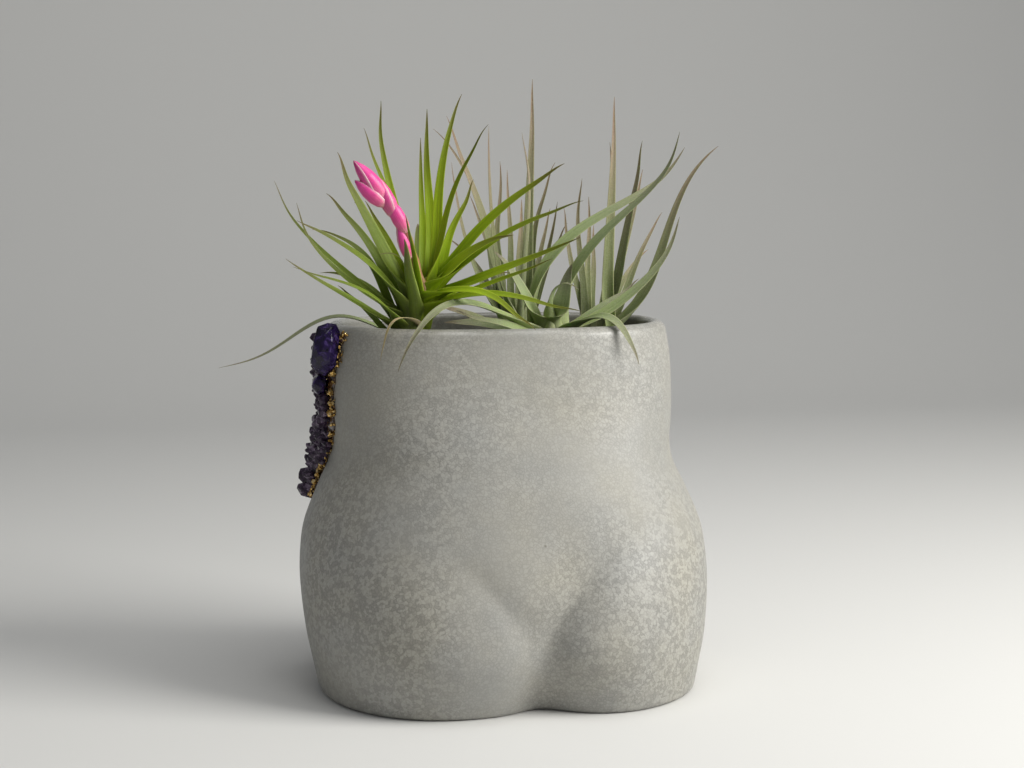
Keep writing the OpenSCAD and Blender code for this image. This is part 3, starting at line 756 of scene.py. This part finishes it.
# Crystals: a row of tall ones up the trim, short ones all over it, and a few on its front edge
# where the pot narrows to the waist
TALL = 54
SHORT = 7 * TALL
EDGE = 18
crystals = []
for k in range(TALL):
    t = (k + 0.5) / TALL
    v = -0.78 + 1.63 * chance(k, 1)
    if free_of_stones(v, t, 5.5):
        crystals.append(quartz_at(k, t, v, 1.7 + 1.4 * chance(k, 2) + 1.2 * (1 - t), 1.0))
for k in range(TALL, TALL + SHORT):
    t, v = chance(k, 21), -0.86 + 1.76 * chance(k, 22)
    if free_of_stones(v, t, 4.2):
        crystals.append(quartz_at(k, t, v, 0.8 + 1.3 * chance(k, 23), 0.45 + 0.4 * chance(k, 24)))
for k in range(TALL + SHORT, TALL + SHORT + EDGE):
    t, v = 0.2 + 0.19 * chance(k, 21), -1.0 + 0.2 * chance(k, 22)
    crystals.append(quartz_at(k, t, v, 1.2 + 1.0 * chance(k, 23), 0.55))
piece("quartz_points", hull_mesh(crystals, 0.1), "pot", "quartz", smoky_quartz, "amethyst_points")

# Clusters of grains are about 7 mm across and their dents 2 mm, as counts per metre
CLUSTERS = 150.0
DENTS = 520.0
# More spots per square metre than any spacing leaves room for
CROWDED = 4.0e5
ANY_TURN = (6.28, 6.28, 6.28)
FATTEST = (1.25, 1.1, 0.95)


def scatter_tree():
    """Strews broken grains over a surface: as many as fit at the given spacing, in clusters
    where patchiness is above 0, each an icosahedron of its own size and turn, pushed out of
    shape and flattened."""
    tree, given = tree_named("strewn_grains", Spacing="Float", Smallest="Float", Largest="Float", Seed="Int",
                             Roughening="Float", Patchiness="Float", Thinnest="Float", Material="Material")
    seed = given["Seed"]
    patch = node(tree, "TexNoise", {"Scale": CLUSTERS, "Detail": 1.0})
    patch_off = maths(tree, "SUBTRACT", patch, 0.5)
    share = maths(tree, "MULTIPLY_ADD", patch_off, given["Patchiness"], 1.0, use_clamp=True)
    spots = node(tree, "DistributePointsOnFaces",
                 {"Mesh": given["Geometry"], "Distance Min": given["Spacing"], "Density Max": CROWDED,
                  "Density Factor": share, "Seed": seed}, distribute_method="POISSON")
    ball = node(tree, "MeshIcoSphere", {"Radius": 1.0, "Subdivisions": 1})
    spin = node(tree, "RandomValue", {1: ANY_TURN, "Seed": seed}, data_type="FLOAT_VECTOR")
    size = node(tree, "RandomValue", {2: given["Smallest"], 3: given["Largest"], "Seed": seed},
                data_type="FLOAT").outputs[1]
    thinnest = node(tree, "CombineXYZ", [0.7, 0.8, given["Thinnest"]])
    squash = node(tree, "RandomValue", {0: thinnest, 1: FATTEST, "Seed": seed}, data_type="FLOAT_VECTOR")
    sized = scaled(tree, squash, size)
    strewn = node(tree, "InstanceOnPoints",
                  {"Points": spots, "Instance": ball, "Rotation": spin, "Scale": sized})
    real = node(tree, "RealizeInstances", {"Geometry": strewn})
    rough = node(tree, "TexNoise", {"Scale": DENTS, "Detail": 1.0})
    push = node(tree, "VectorMath", [rough.outputs["Color"], HALF], operation="SUBTRACT")
    pushed = scaled(tree, push, given["Roughening"])
    broken = node(tree, "SetPosition", {"Geometry": real, "Offset": pushed})
    done = node(tree, "SetMaterial", {"Geometry": broken, "Material": given["Material"]})
    node(tree, "GroupOutput", {"Geometry": done})
    return tree


grains = scatter_tree()
PATCH_ACROSS = 8
PATCH_UP = 50


def trim_patch(v_low, v_high, z_low, z_high, lift):
    """A strip over the trim to strew chips on, lift off the wall."""
    z, v = np.meshgrid(np.linspace(z_low, z_high, PATCH_UP), np.linspace(v_low, v_high, PATCH_ACROSS),
                       indexing="ij")
    points = trim_place(v, z) + lift * trim_out(v, z)
    return mesh_from(points.reshape(-1, 3), strip_faces(PATCH_UP, PATCH_ACROSS, closed=False))


# Chips of gold: three strips along the front edge, a cluster low in front, one strip along the
# back edge and a few chips among the crystals. A strip is v from and to, z from and to, lift,
# spacing, largest chip and patchiness
CHIP_STRIPS = [(-1.06, -0.99, 77.5, 156, 0.5, 1.0, 1.0, 5.0), (-1.03, -0.93, 78, 156, 1.4, 1.2, 1.2, 8.0),
               (-1.02, -0.86, 79, 155, 1.4, 3.4, 1.9, 6.0), (-1.04, -0.4, 80, 96, 2.2, 1.7, 1.9, 2.0),
               (0.9, 1.02, 78, 154, 1.4, 1.6, 1.2, 8.0), (-0.8, 0.86, 78, 152, 1.6, 5.0, 1.2, 0.0)]
SMALLEST_CHIP = 0.35
ROUGHENING = 1.2
chips = [grow(trim_patch(*area), grains, Spacing=spacing * MM, Smallest=SMALLEST_CHIP * MM,
              Largest=largest * MM, Seed=seed, Roughening=ROUGHENING * MM, Patchiness=patchiness,
              Thinnest=0.35, Material=gold)
         for seed, (*area, spacing, largest, patchiness) in enumerate(CHIP_STRIPS, 3)]
piece("gold_chips", joined(chips), "pot", "gold", gold, "gold_grains")

# Gravel: a closed bed, rounded at its foot, under a layer of strewn grains
BED_GAP = 0.25
BED_TOP = GRAVEL_Z - 1.6
round_bed = turns[::3]
bed_foot = ((0.2, 11), (4, 6), (11, 0.3))
bed = [body_point(round_bed, FLOOR + rise, WALL + gap) for rise, gap in bed_foot]
bed += [body_point(round_bed, z, WALL + BED_GAP) for z in np.linspace(30, BED_TOP, 8)]
rim = bed[-1]
heart = rim.mean(0)
tops = []
for s in np.linspace(1, 0.04, 26):
    ring = heart + (rim - heart) * s
    ring[:, 2] += 0.5 * lump(ring, 14.0, 4.0) * (1 - s) ** 0.3
    tops.append(ring)
points, faces = loft(bed + tops[1:])
bed_mesh = mesh_from(points, faces)
top_mesh = mesh_from(np.concatenate(tops), strip_faces(len(tops), len(rim)))
strewn = grow(top_mesh, grains, Spacing=2.3 * MM, Smallest=1.0 * MM, Largest=2.1 * MM, Seed=11,
              Roughening=ROUGHENING * MM, Patchiness=0.0, Thinnest=0.6, Material=grit)
piece("gravel", joined([bed_mesh, strewn]), "pot", "gravel", grit, "gravel_fill")

# Leaves. A row is the tip across, back and up from the crown, early bow, late bow, width, the
# side in degrees and the rise at which it leaves the stem, and for one leaf the hump that
# takes it over the lip. A plant is its body, its crown, and its stem's start and lean
GREEN_AT, SILVER_AT = (-40, -2, 148.7), (22, 4, 148)
GREY_LEFT_AT, GREY_RIGHT_AT = (14, 42, 146), (49, 30, 146)
GREEN = ("green_plant", GREEN_AT, (-2.5, 0), (0.27, -0.05))
SILVER = ("silver_plant", SILVER_AT, (0, 0), (0, 0))
GREY_L = ("grey_plants", GREY_LEFT_AT, (0, 0), (0, 0))
GREY_R = ("grey_plants", GREY_RIGHT_AT, (0, 0), (0, 0))
GREEN_UPRIGHT = [
    (-20, 22, 93, 3, 2, 4, 118, 26), (-14, 12, 105, 0, -5, 5, 165, 26), (7, 24, 90, -8, 2, 4, 92, 26),
    (7, 7, 102, -2, 0, 5.5, 58, 27), (23, 5, 108, 4, 12, 5.5, 5, 27), (33, -12, 94, 5, 12, 5, -50, 26),
    (31, 14, 70, 2, 6, 5, 28, 21), (-20, 14, 62, 3, 3, 5, 142, 20), (-8, -23, 57, 7, 2, 5, 284, 12)]
GREEN_RIGHT = [
    (64, -16, 77, 8, 9, 7, 2, 25), (69, -28, 61, 9, 10, 6, -16, 22.5),
    (39, -20, 49, 6, 6, 8.5, -48, 23.5), (65, -34, 48, 2, -1, 7, -28, 20),
    (53, -36, 38, 1, 1, 4, -41, 17), (61, -53, 15, 16, 8.5, 5, -64, 14.5),
    (42, -48, 7, 16, 14, 5, -84, 20), (44, 8, 30, 8, 8, 5, 20, 12)]
GREEN_LEFT = [
    (-60, 12, 70, -1, -9, 3.5, 165, 12), (-53, -10, 61, -3, -11, 4, 190, 12),
    (-53, -28, 56, 12, 4, 6, 212, 14), (-58, -26, 40, 4, -2, 5, 200, 6),
    (-57, -40, 36, 14, 5, 4, 226, 6), (-38, 17, 64, 5, 10, 6, 145, 13), (-35, 6, 82, 2, 2, 8, 176, 20),
    (-8, -20, 47, 2, 3, 8.5, 250, 12), (-31, 22, 24.5, 2, 4, 3.5, 150, 1),
    (-18, -16, 40, 2, 18, 2.6, 228, 18)]
GREEN_BACK = [
    (-42, 30, 48, 12, 22, 5, 150, 5), (-22, 36, 60, 8, 10, 6, 116, 14), (8, 38, 52, 10, 14, 6, 75, 13),
    (-36, 40, 30, 12, 12, 5, 126, 4), (34, 22, 22, 6, 8, 5, 40, 8)]
GREEN_DRY = [(-18, -25, -5.5, 17, 15, 2.6, 285, 9)]
SILVER_BROAD = [
    (62, 1, 85, 38, -6, 6.5, 165, 7), (56, -12, 92, 27, -11, 6.5, -25, 8),
    (-27, -8, 42, 2, 2, 11, 205, 7), (7, -8, 36, 0, 0, 12, 275, 9), (59, 1, 55, -6, -14, 6, 12, 3),
    (45, 15, 25, 3, 2, 5, 46, 2), (-48, -22, 14, 4, 4, 6, 235, 1.5), (-48, 2, 9, 5, 5, 9, 190, 2)]
SILVER_ARCHING = [
    (-75, -42, -9, 20, 42, 7.5, 190, 4), (28, -40, -8, 20, 22, 7.5, -48, 4),
    (6, -24, 26, 10, 12, 4, 252, 12)]
GREY_LEFT = [
    (-33, 6, 102, 8, 6, 7, 200, 4), (-38, 14, 96, 4, 22, 4, 162, 4), (-30, -6, 82, -8, -8, 4, 232, 4),
    (-14, -8, 98, -6, -6, 5, 252, 5), (8, -2, 119, 2, 2, 6, 318, 5), (2, -10, 95, -4, -8, 4, 277, 5),
    (22, 2, 81, 2, 14, 4, 355, 4), (0, 20, 78, 4, 2, 4, 96, 5), (20, 14, 60, 2, 2, 4, 32, 4),
    (-18, 20, 66, 4, 4, 4, 122, 4), (8, 24, 64, 4, 6, 5, 66, 4), (-30, 18, 48, 8, 10, 4, 145, 1),
    (-7, 6, 82, -4, 2, 4, 176, 9), (27, 4, 53, 4, 6, 4, 10, 2), (18, -6, 64, 2, -2, 4, 337, 1),
    (-44, -24, 19, 4, 3, 7, 214, 2.5)]
GREY_RIGHT = [
    (9, 2, 111, 2, 2, 6, 300, 5), (22, -4, 91, 2, 2, 6, 333, 5), (9, 14, 91, -6, -14, 4, 62, 5),
    (57, 0, 89, -14, 14, 6, -8, 4), (27, 18, 78, 2, 2, 5, 34, 4), (-6, 8, 74, -6, -10, 4, 212, 4),
    (-14, 16, 60, 4, 2, 4, 160, 4), (6, 30, 52, 6, 6, 4, 98, 3), (36, 16, 58, 2, 6, 4, 14, 2),
    (34, 34, 40, 8, 10, 4, 50, 1), (-1, 12, 66, 6, -10, 4, 120, 3)]
GREY_TRAILING = [(-137.5, -30, -9, 0, 0, 6, 182, 3, 18.2)]
LEAF_STEPS = 44
SHEATH_STEPS = 9
SMOOTHED = SHEATH_STEPS + 8
SWAY = 2.6
HOOK = 5
THICKNESS = 0.16


def leaf_width(t, half, sheath):
    """Half-width of a leaf: a sheathing base that clasps the stem, then a blade that tapers to
    a fine point."""
    blade = half * (1 - t) ** 0.85 * (1 + 0.35 * t) + 0.04
    return blade + (max(sheath, half) - half) * (1 - ramp(-0.25, 0.2, t))


def midribs(plant, rows, r, sheath, clasp, twist):
    """Midribs as a mesh of edges that carries each leaf's frame, width and tint. Below the
    place where a leaf leaves the stem, its midrib runs down the stem for clasp mm."""
    _, at, start, lean = plant
    stem = unit([lean[0], lean[1], 1])
    layers = {title: [] for title in ("centre", "side", "over", "half", "along", "tint", "channel")}
    edges = []
    for count, (*tip, early, late, width, facing, rise, hump) in enumerate(
            row if len(row) == 9 else (*row, 0) for row in rows):
        a = math.radians(facing)
        outward = np.array([math.cos(a), math.sin(a), 0])
        root = np.array([start[0] + lean[0] * rise, start[1] + lean[1] * rise, rise]) + r * outward
        d = np.array(tip, float) - root
        across = unit([d[1], -d[0], 0])
        over = np.cross(across, unit(d))
        over = -over if over[2] < 0 else over

        # The blade's path with its bows, a little sway and a hooked tip
        t = np.linspace(0, 1, LEAF_STEPS) ** 1.05 * 0.995
        bow = 3 * t * (1 - t) * ((1 - t) * early + t * late)
        path = t[:, None] * d + bow[:, None] * over
        path[:, 2] += hump * bell((t - 0.6) / 0.22)
        luck = chance(count, 31)
        sway = (chance(count, 32) - 0.5) * SWAY * np.sin(t * (4 + 5 * luck)) * t * (1 - t) * 4
        hook = (chance(count, 34) - 0.35) * HOOK * ramp(0.7, 1, t) ** 2
        path = path + sway[:, None] * across + hook[:, None] * over

        # The sheath's path down the stem, smoothed into the blade's
        below = np.linspace(-1, 0, SHEATH_STEPS, endpoint=False)
        low = (below * clasp)[:, None] * stem + (0.9 * -below)[:, None] * outward
        path = np.concatenate([low, path])
        for _ in range(5):
            path[1:SMOOTHED] = (path[:SMOOTHED - 1] + 2 * path[1:SMOOTHED] + path[2:SMOOTHED + 1]) / 4
        t = np.concatenate([below * 0.25, t])

        # The leaf's frame turns from the stem's round to the blade's own face and twist
        tangent = np.array([outward[1], -outward[0], 0])
        clasping = float(tangent @ across) > 0
        tangent = tangent if clasping else -tangent
        blend = ramp(-0.05, 0.25, t)[:, None]
        flat = unit(tangent * (1 - blend) + across * blend)
        way = unit(np.gradient(path, axis=0))
        wide = unit(flat - (way * flat).sum(1, keepdims=True) * way)
        top = np.cross(wide, way)
        top = top * np.sign((top * over).sum(1)[-20:].mean() or 1)
        roll = math.radians(twist) * d[0] / math.hypot(d[0], d[1]) * ramp(-0.05, 0.35, t)
        roll = (roll + (chance(count, 33) - 0.5) * 0.7 * np.clip(t, 0, 1) ** 1.5)[:, None]
        first = len(layers["tint"])
        edges += [(first + i, first + i + 1) for i in range(len(t) - 1)]
        layers["centre"] += list((path + root + at) * MM)
        layers["side"] += list(wide * np.cos(roll) - top * np.sin(roll))
        layers["over"] += list(top * np.cos(roll) + wide * np.sin(roll))
        layers["half"] += list(leaf_width(t, width / 2, sheath if clasping else width / 2) * MM)
        layers["along"] += list(np.where(t < 0, 0.1 + 0.4 * t, 0.1 + 0.9 * t))
        layers["tint"] += [luck] * len(t)
        layers["channel"] += list(0.75 * (1 - ramp(0, 0.3, t)) + 0.3 + 0.25 * ramp(0.6, 1, t))
    mesh = bpy.data.meshes.new("mesh")
    mesh.from_pydata([tuple(p) for p in layers["centre"]], edges, [])
    store(mesh, **layers)
    return mesh


def blade_tree():
    """Grows a blade on each midrib: a lens-shaped section that follows the midrib's frame
    and is folded up along its margins into a channel."""
    tree, given = tree_named("blade_on_midrib", Points_round="Int", Thickness="Float", Material="Material")
    ribs = node(tree, "MeshToCurve", {"Mesh": given["Geometry"]})
    section = node(tree, "CurvePrimitiveCircle", {"Resolution": given["Points round"], "Radius": 1.0})
    on_circle = node(tree, "SeparateXYZ", [node(tree, "InputPosition")]).outputs
    for title, value in (("across", on_circle["X"]), ("lens", on_circle["Y"])):
        section = node(tree, "StoreNamedAttribute", {"Geometry": section, "Name": title, "Value": value},
                       data_type="FLOAT", domain="POINT")
    skin = node(tree, "CurveToMesh", {"Curve": ribs, "Profile Curve": section, "Fill Caps": True})
    read = {title: node(tree, "InputNamedAttribute", {"Name": title}, data_type=kind).outputs["Attribute"]
            for kind, titles in (("FLOAT_VECTOR", ("centre", "side", "over")),
                                 ("FLOAT", ("half", "across", "lens", "channel"))) for title in titles}
    reach = maths(tree, "MULTIPLY", read["across"], read["half"])
    sideways = scaled(tree, read["side"], reach)
    square = maths(tree, "MULTIPLY", read["across"], read["across"])
    fold = maths(tree, "MULTIPLY", square, read["channel"])
    fat = maths(tree, "MULTIPLY_ADD", read["lens"], given["Thickness"], fold)
    lift = maths(tree, "MULTIPLY", fat, read["half"])
    upward = scaled(tree, read["over"], lift)
    moved = node(tree, "VectorMath", [read["centre"], sideways], operation="ADD")
    final = node(tree, "VectorMath", [moved, upward], operation="ADD")
    placed = node(tree, "SetPosition", {"Geometry": skin, "Position": final})
    real = node(tree, "RealizeInstances", {"Geometry": placed})
    done = node(tree, "SetMaterial", {"Geometry": real, "Material": given["Material"]})
    node(tree, "GroupOutput", {"Geometry": done})
    return tree


blades = blade_tree()


def leaves(name, plant, slot, material, rows, cad_node, *shape):
    """A piece of leaves from their rows and the shape of their foot: the stem's radius, the
    sheath's half-width, how far it clasps the stem and the blades' twist in degrees."""
    mesh = grow(midribs(plant, rows, *shape), blades, Points_round=16, Thickness=THICKNESS,
                Material=material)
    for title in ("centre", "side", "over", "half", "channel"):
        if title in mesh.attributes:
            mesh.attributes.remove(mesh.attributes[title])
    turn_outwards(mesh)
    piece(name, mesh, plant[0], slot, material, cad_node)


leaves("green_upright_blades", GREEN, "green_leaf", green_blade, GREEN_UPRIGHT, "green_upright_leaves",
       5, 4.4, 14, 50)
leaves("green_right_blades", GREEN, "green_leaf", green_blade, GREEN_RIGHT, "green_right_leaves",
       5.5, 5.4, 15, 50)
# The left and back blades wear the olive copy, whose darker green is painted shade.
leaves("green_left_blades", GREEN, "olive_leaf", olive_hazed_shaded_blade, GREEN_LEFT, "green_left_leaves",
       7, 5.4, 12, 50)
leaves("green_back_blades", GREEN, "olive_leaf", olive_hazed_shaded_blade, GREEN_BACK, "green_back_leaves",
       7, 5.4, 10, 50)
leaves("dry_hanging_leaf", GREEN, "dry_leaf", dry_blade, GREEN_DRY, "green_dry_leaf",
       7, 1.4, 4, 0)
leaves("silver_broad_blades", SILVER, "silver_leaf", silver_blade, SILVER_BROAD, "silver_broad_leaves",
       7.2, 5.6, 9, 50)
leaves("silver_arching_blades", SILVER, "silver_leaf", silver_blade, SILVER_ARCHING, "silver_arching_leaves",
       7.65, 5.0, 8, 38)
leaves("grey_left_blades", GREY_L, "grey_leaf", grey_blade, GREY_LEFT, "grey_left_leaves",
       6.4, 4.2, 9, 50)
leaves("grey_right_blades", GREY_R, "grey_leaf", grey_blade, GREY_RIGHT, "grey_right_leaves",
       6.4, 4.2, 9, 50)
leaves("grey_trailing_blade", GREY_L, "silver_leaf", silver_blade, GREY_TRAILING, "grey_trailing_leaf",
       7.2, 3.0, 6, 25)

STEM_SIDES = 40
CROWN_STEPS = 24


def stem_mesh(stems):
    """Leaf bases grown together: lofted rings with low ribs, and the along and across
    attributes that the leaf finishes read."""
    verts, faces, along, across = [], [], [], []
    a = np.arange(STEM_SIDES) / STEM_SIDES * 2 * math.pi
    for centre_line, radii, ribs in stems:
        rings = []
        for j, (c, r) in enumerate(zip(centre_line, radii)):
            rr = r * (1 + 0.07 * np.cos(ribs * a + 0.35 * j))
            flat = [c[0] + rr * np.cos(a), c[1] + rr * np.sin(a), np.full(STEM_SIDES, c[2])]
            rings.append(np.stack(flat, -1))
            along += [0.5 * j / len(radii)] * STEM_SIDES
            across += list(np.cos(ribs * a))
        points, skin = loft(rings)
        faces += [[i + len(verts) for i in f] for f in skin]
        verts += list(points)
        along += [0, 0.4]
        across += [0, 0]
    mesh = mesh_from(verts, faces)
    store(mesh, along=along, across=across, tint=[0.4] * len(verts))
    return mesh


def crown_line(at, r, tall):
    """Centre line and radii of a bulb-shaped crown, from the gravel to its tip."""
    foot = GRAVEL_Z + 0.2 - at[2]
    heights = [foot, foot * 0.85, foot * 0.7, foot * 0.25, 0.2 * r, 0.9 * r, tall * 0.85, tall]
    radii = np.array([0.45, 0.66, 0.78, 0.86, 0.78, 0.5, 0.3, 0.08]) * r
    z = np.linspace(foot, tall, CROWN_STEPS)
    return [(at[0], at[1], at[2] + h) for h in z], np.interp(z, heights, radii)


both = [(*crown_line(at, 8, 14), 5) for at in (GREY_LEFT_AT, GREY_RIGHT_AT)]
piece("grey_stems", stem_mesh(both), "grey_plants", "grey_leaf", grey_blade, "grey_crowns")
silver_crown = stem_mesh([(*crown_line(SILVER_AT, 9, 16), 4)])
piece("silver_stem", silver_crown, "silver_plant", "silver_leaf", silver_blade, "silver_crown")

# The flowering plant's sheath leans as its stem does, from the gravel up
SHEATH_LEAN = GREEN[3]
sheath_z = np.linspace(GRAVEL_Z + 0.2 - GREEN_AT[2], 30, 26)
bent = np.maximum(sheath_z - 2, 0)
sheath_line = np.stack([GREEN_AT[0] - 2 + SHEATH_LEAN[0] * bent, GREEN_AT[1] + SHEATH_LEAN[1] * bent,
                        GREEN_AT[2] + sheath_z], -1)
sheath_r = np.interp(sheath_z, [-22.5, -16, -4, 4, 24, 28, 30], [5.0, 6.2, 6.8, 6.4, 4.4, 3.0, 1.0])
sheath = stem_mesh([(sheath_line, sheath_r, 4)])
# The sheath wears the olive copy of the leaf, with its painted shade.
piece("green_sheath", sheath, "green_plant", "olive_leaf", olive_hazed_shaded_blade, "green_crown")

# The flower spike: a stalk and five wrapped bracts. A bract is its foot and tip from the
# crown, its width and its turn; in each sits a narrower one turned further
SPIKE_FOOT, SPIKE_HEAD = np.array([3, -4.5, 24.0]), np.array([-6.4, -10, 53.0])
BRACTS = [((-3.6, -8.6, 38), (-8.8, -9.6, 53), 5.4, 100), ((-4.8, -9.5, 49), (-13.6, -10, 65), 6.2, 30),
          ((-9.2, -9.7, 55.5), (-18.4, -10, 74), 6.8, 200), ((-13.7, -9.8, 61), (-26.9, -11, 71.4), 6.8, -30),
          ((-13.7, -9.8, 63), (-27.4, -11, 79.6), 7.8, 150)]
BRACT_STEPS = 28
BRACT_POINTS = 40
BRACT_T = 0.35
BRACT_PLACES = [0, 0.02, 0.15, 0.36, 0.6, 0.8, 0.96, 1]
BRACT_SHARES = [0.3, 0.5, 0.84, 1.0, 0.9, 0.6, 0.2, 0.03]


def rolled_bract(foot, tip, wide, turn, opening):
    """One bract: a pointed shell rolled round its axis, one margin lying over the other."""
    foot, tip = np.array(foot, float) + GREEN_AT, np.array(tip, float) + GREEN_AT
    way = unit(tip - foot)
    side = unit(np.cross(way, [0.2, 1, 0.1]))
    other = np.cross(way, side)
    length = np.linalg.norm(tip - foot)
    c, s = math.cos(math.radians(turn)), math.sin(math.radians(turn))
    rings, along, across = [], [], []
    for j in range(BRACT_STEPS):
        t = j / (BRACT_STEPS - 1)
        r = wide / 2 * np.interp(t, BRACT_PLACES, BRACT_SHARES)
        reach = math.radians(180 - opening * (1 - t))
        a = np.linspace(-reach, reach, BRACT_POINTS)
        outer = r * (1 + 0.1 * a / math.pi)
        inner = np.maximum(outer - BRACT_T, 0.02 * r)
        around = np.concatenate([a, a[::-1]])
        radius = np.concatenate([outer, inner[::-1]])[:, None]
        flat = radius * np.stack([np.cos(around), np.sin(around)], -1) @ np.array([[c, s], [-s, c]])
        rings.append(foot + way * length * t + flat[:, :1] * side + flat[:, 1:] * other)
        along += [t] * (2 * BRACT_POINTS)
        across += list(around / reach)
    points, faces = loft(rings)
    return points, faces, along + [0, 1], across + [0, 0]


verts, faces, along, across = [], [], [], []
for foot, tip, wide, turn in BRACTS:
    for further, opening, share in ((0, 25, 1.0), (150, 60, 0.9)):
        points, skin, u, v = rolled_bract(foot, tip, wide * share, turn + further, opening)
        faces += [[i + len(verts) for i in face] for face in skin]
        verts += list(points)
        along += u
        across += v
mesh = mesh_from(verts, faces)
store(mesh, along=along, across=across)
piece("pink_bracts", mesh, "green_plant", "bract", pink_bract, "flower_bracts")

t = np.linspace(0, 1, 30)
stalk_line = [np.array(GREEN_AT) + SPIKE_FOOT + (SPIKE_HEAD - SPIKE_FOOT) * k for k in t]
stalk_r = 2.4 - 0.6 * t + 0.25 * np.sin(t * 18)
stalk = stem_mesh([(stalk_line, stalk_r, 3)])
piece("spike_stalk", stalk, "green_plant", "stalk", stalk_skin, "flower_stalk")

# Floor and backdrop in one sheet, in metres: flat, then curved up behind the pot
SHEET_HALF = 2.6
SHEET_FRONT, SHEET_BEND, BEND_R, SHEET_TOP = -1.6, 0.9, 0.6, 2.4
paper, tree, shader = material_named("pale_studio_sheet", Roughness=0.9)
seen = node(tree, "LightPath").outputs["Is Camera Ray"]
paper_tone = mixed(tree, seen, srgb("#dfdfdd"), srgb("#d6d5d2"))
feed(tree, shader, {"Base Color": paper_tone})
sweep = [(SHEET_FRONT, 0.0), (SHEET_BEND, 0.0)]
sweep += [(SHEET_BEND + BEND_R * math.sin(a), BEND_R - BEND_R * math.cos(a))
          for a in np.radians(np.arange(6, 91, 6))]
sweep += [(SHEET_BEND + BEND_R, SHEET_TOP)]
mesh = bpy.data.meshes.new("studio_sheet")
mesh.from_pydata([(x, y, z) for y, z in sweep for x in (-SHEET_HALF, SHEET_HALF)], [],
                 strip_faces(len(sweep), 2, closed=False))
mesh.shade_smooth()
shown("studio_sheet", mesh, paper)


def face_towards(thing, target):
    """Turns a lamp or camera to face a point and puts it in the scene."""
    thing.rotation_euler = (target - thing.location).to_track_quat("-Z", "Y").to_euler()
    bpy.context.scene.collection.objects.link(thing)


def lamp(name, toward, distance, size, power, colour):
    """A square soft light that faces the pot from a direction."""
    data = bpy.data.lights.new(name, "AREA")
    data.size = size
    data.energy = power
    data.color = srgb(colour)[:3]
    thing = bpy.data.objects.new(name, data)
    middle = Vector((0, 0, 0.12))
    thing.location = middle + Vector(toward).normalized() * distance
    face_towards(thing, middle)


lamp("key", (0.76, -0.46, 0.50), 1.1, 0.6, 14.6, "#fffefa")
lamp("top", (0.12, -0.16, 1.0), 1.0, 0.7, 4.4, "#fcfcfa")
world = bpy.data.worlds.new("studio_air")
world.use_nodes = True
feed(world.node_tree, world.node_tree.nodes["Background"], {0: srgb("#eef1f6"), 1: 0.25})
bpy.context.scene.world = world

# The camera stands a little to the left of the pot's front and looks slightly down
PHOTO_WIDTH_PX = 1024
FOCAL_PX = 2069.3
SENSOR = 36.0
AZIMUTH, ELEVATION, DISTANCE = math.radians(-12.1), math.radians(6.33), 0.902
ASIDE, LOOK_Z = 0.0031, 0.13143
target = Vector((ASIDE * math.cos(AZIMUTH), ASIDE * math.sin(AZIMUTH), LOOK_Z))
camera_data = bpy.data.cameras.new("camera")
camera_data.sensor_width = SENSOR
camera_data.lens = FOCAL_PX * SENSOR / PHOTO_WIDTH_PX
camera = bpy.data.objects.new("camera", camera_data)
level = math.cos(ELEVATION)
away = Vector((math.sin(AZIMUTH) * level, -math.cos(AZIMUTH) * level, math.sin(ELEVATION)))
camera.location = target + DISTANCE * away
face_towards(camera, target)
bpy.context.scene.camera = camera
bpy.context.scene.view_settings.view_transform = "Standard"
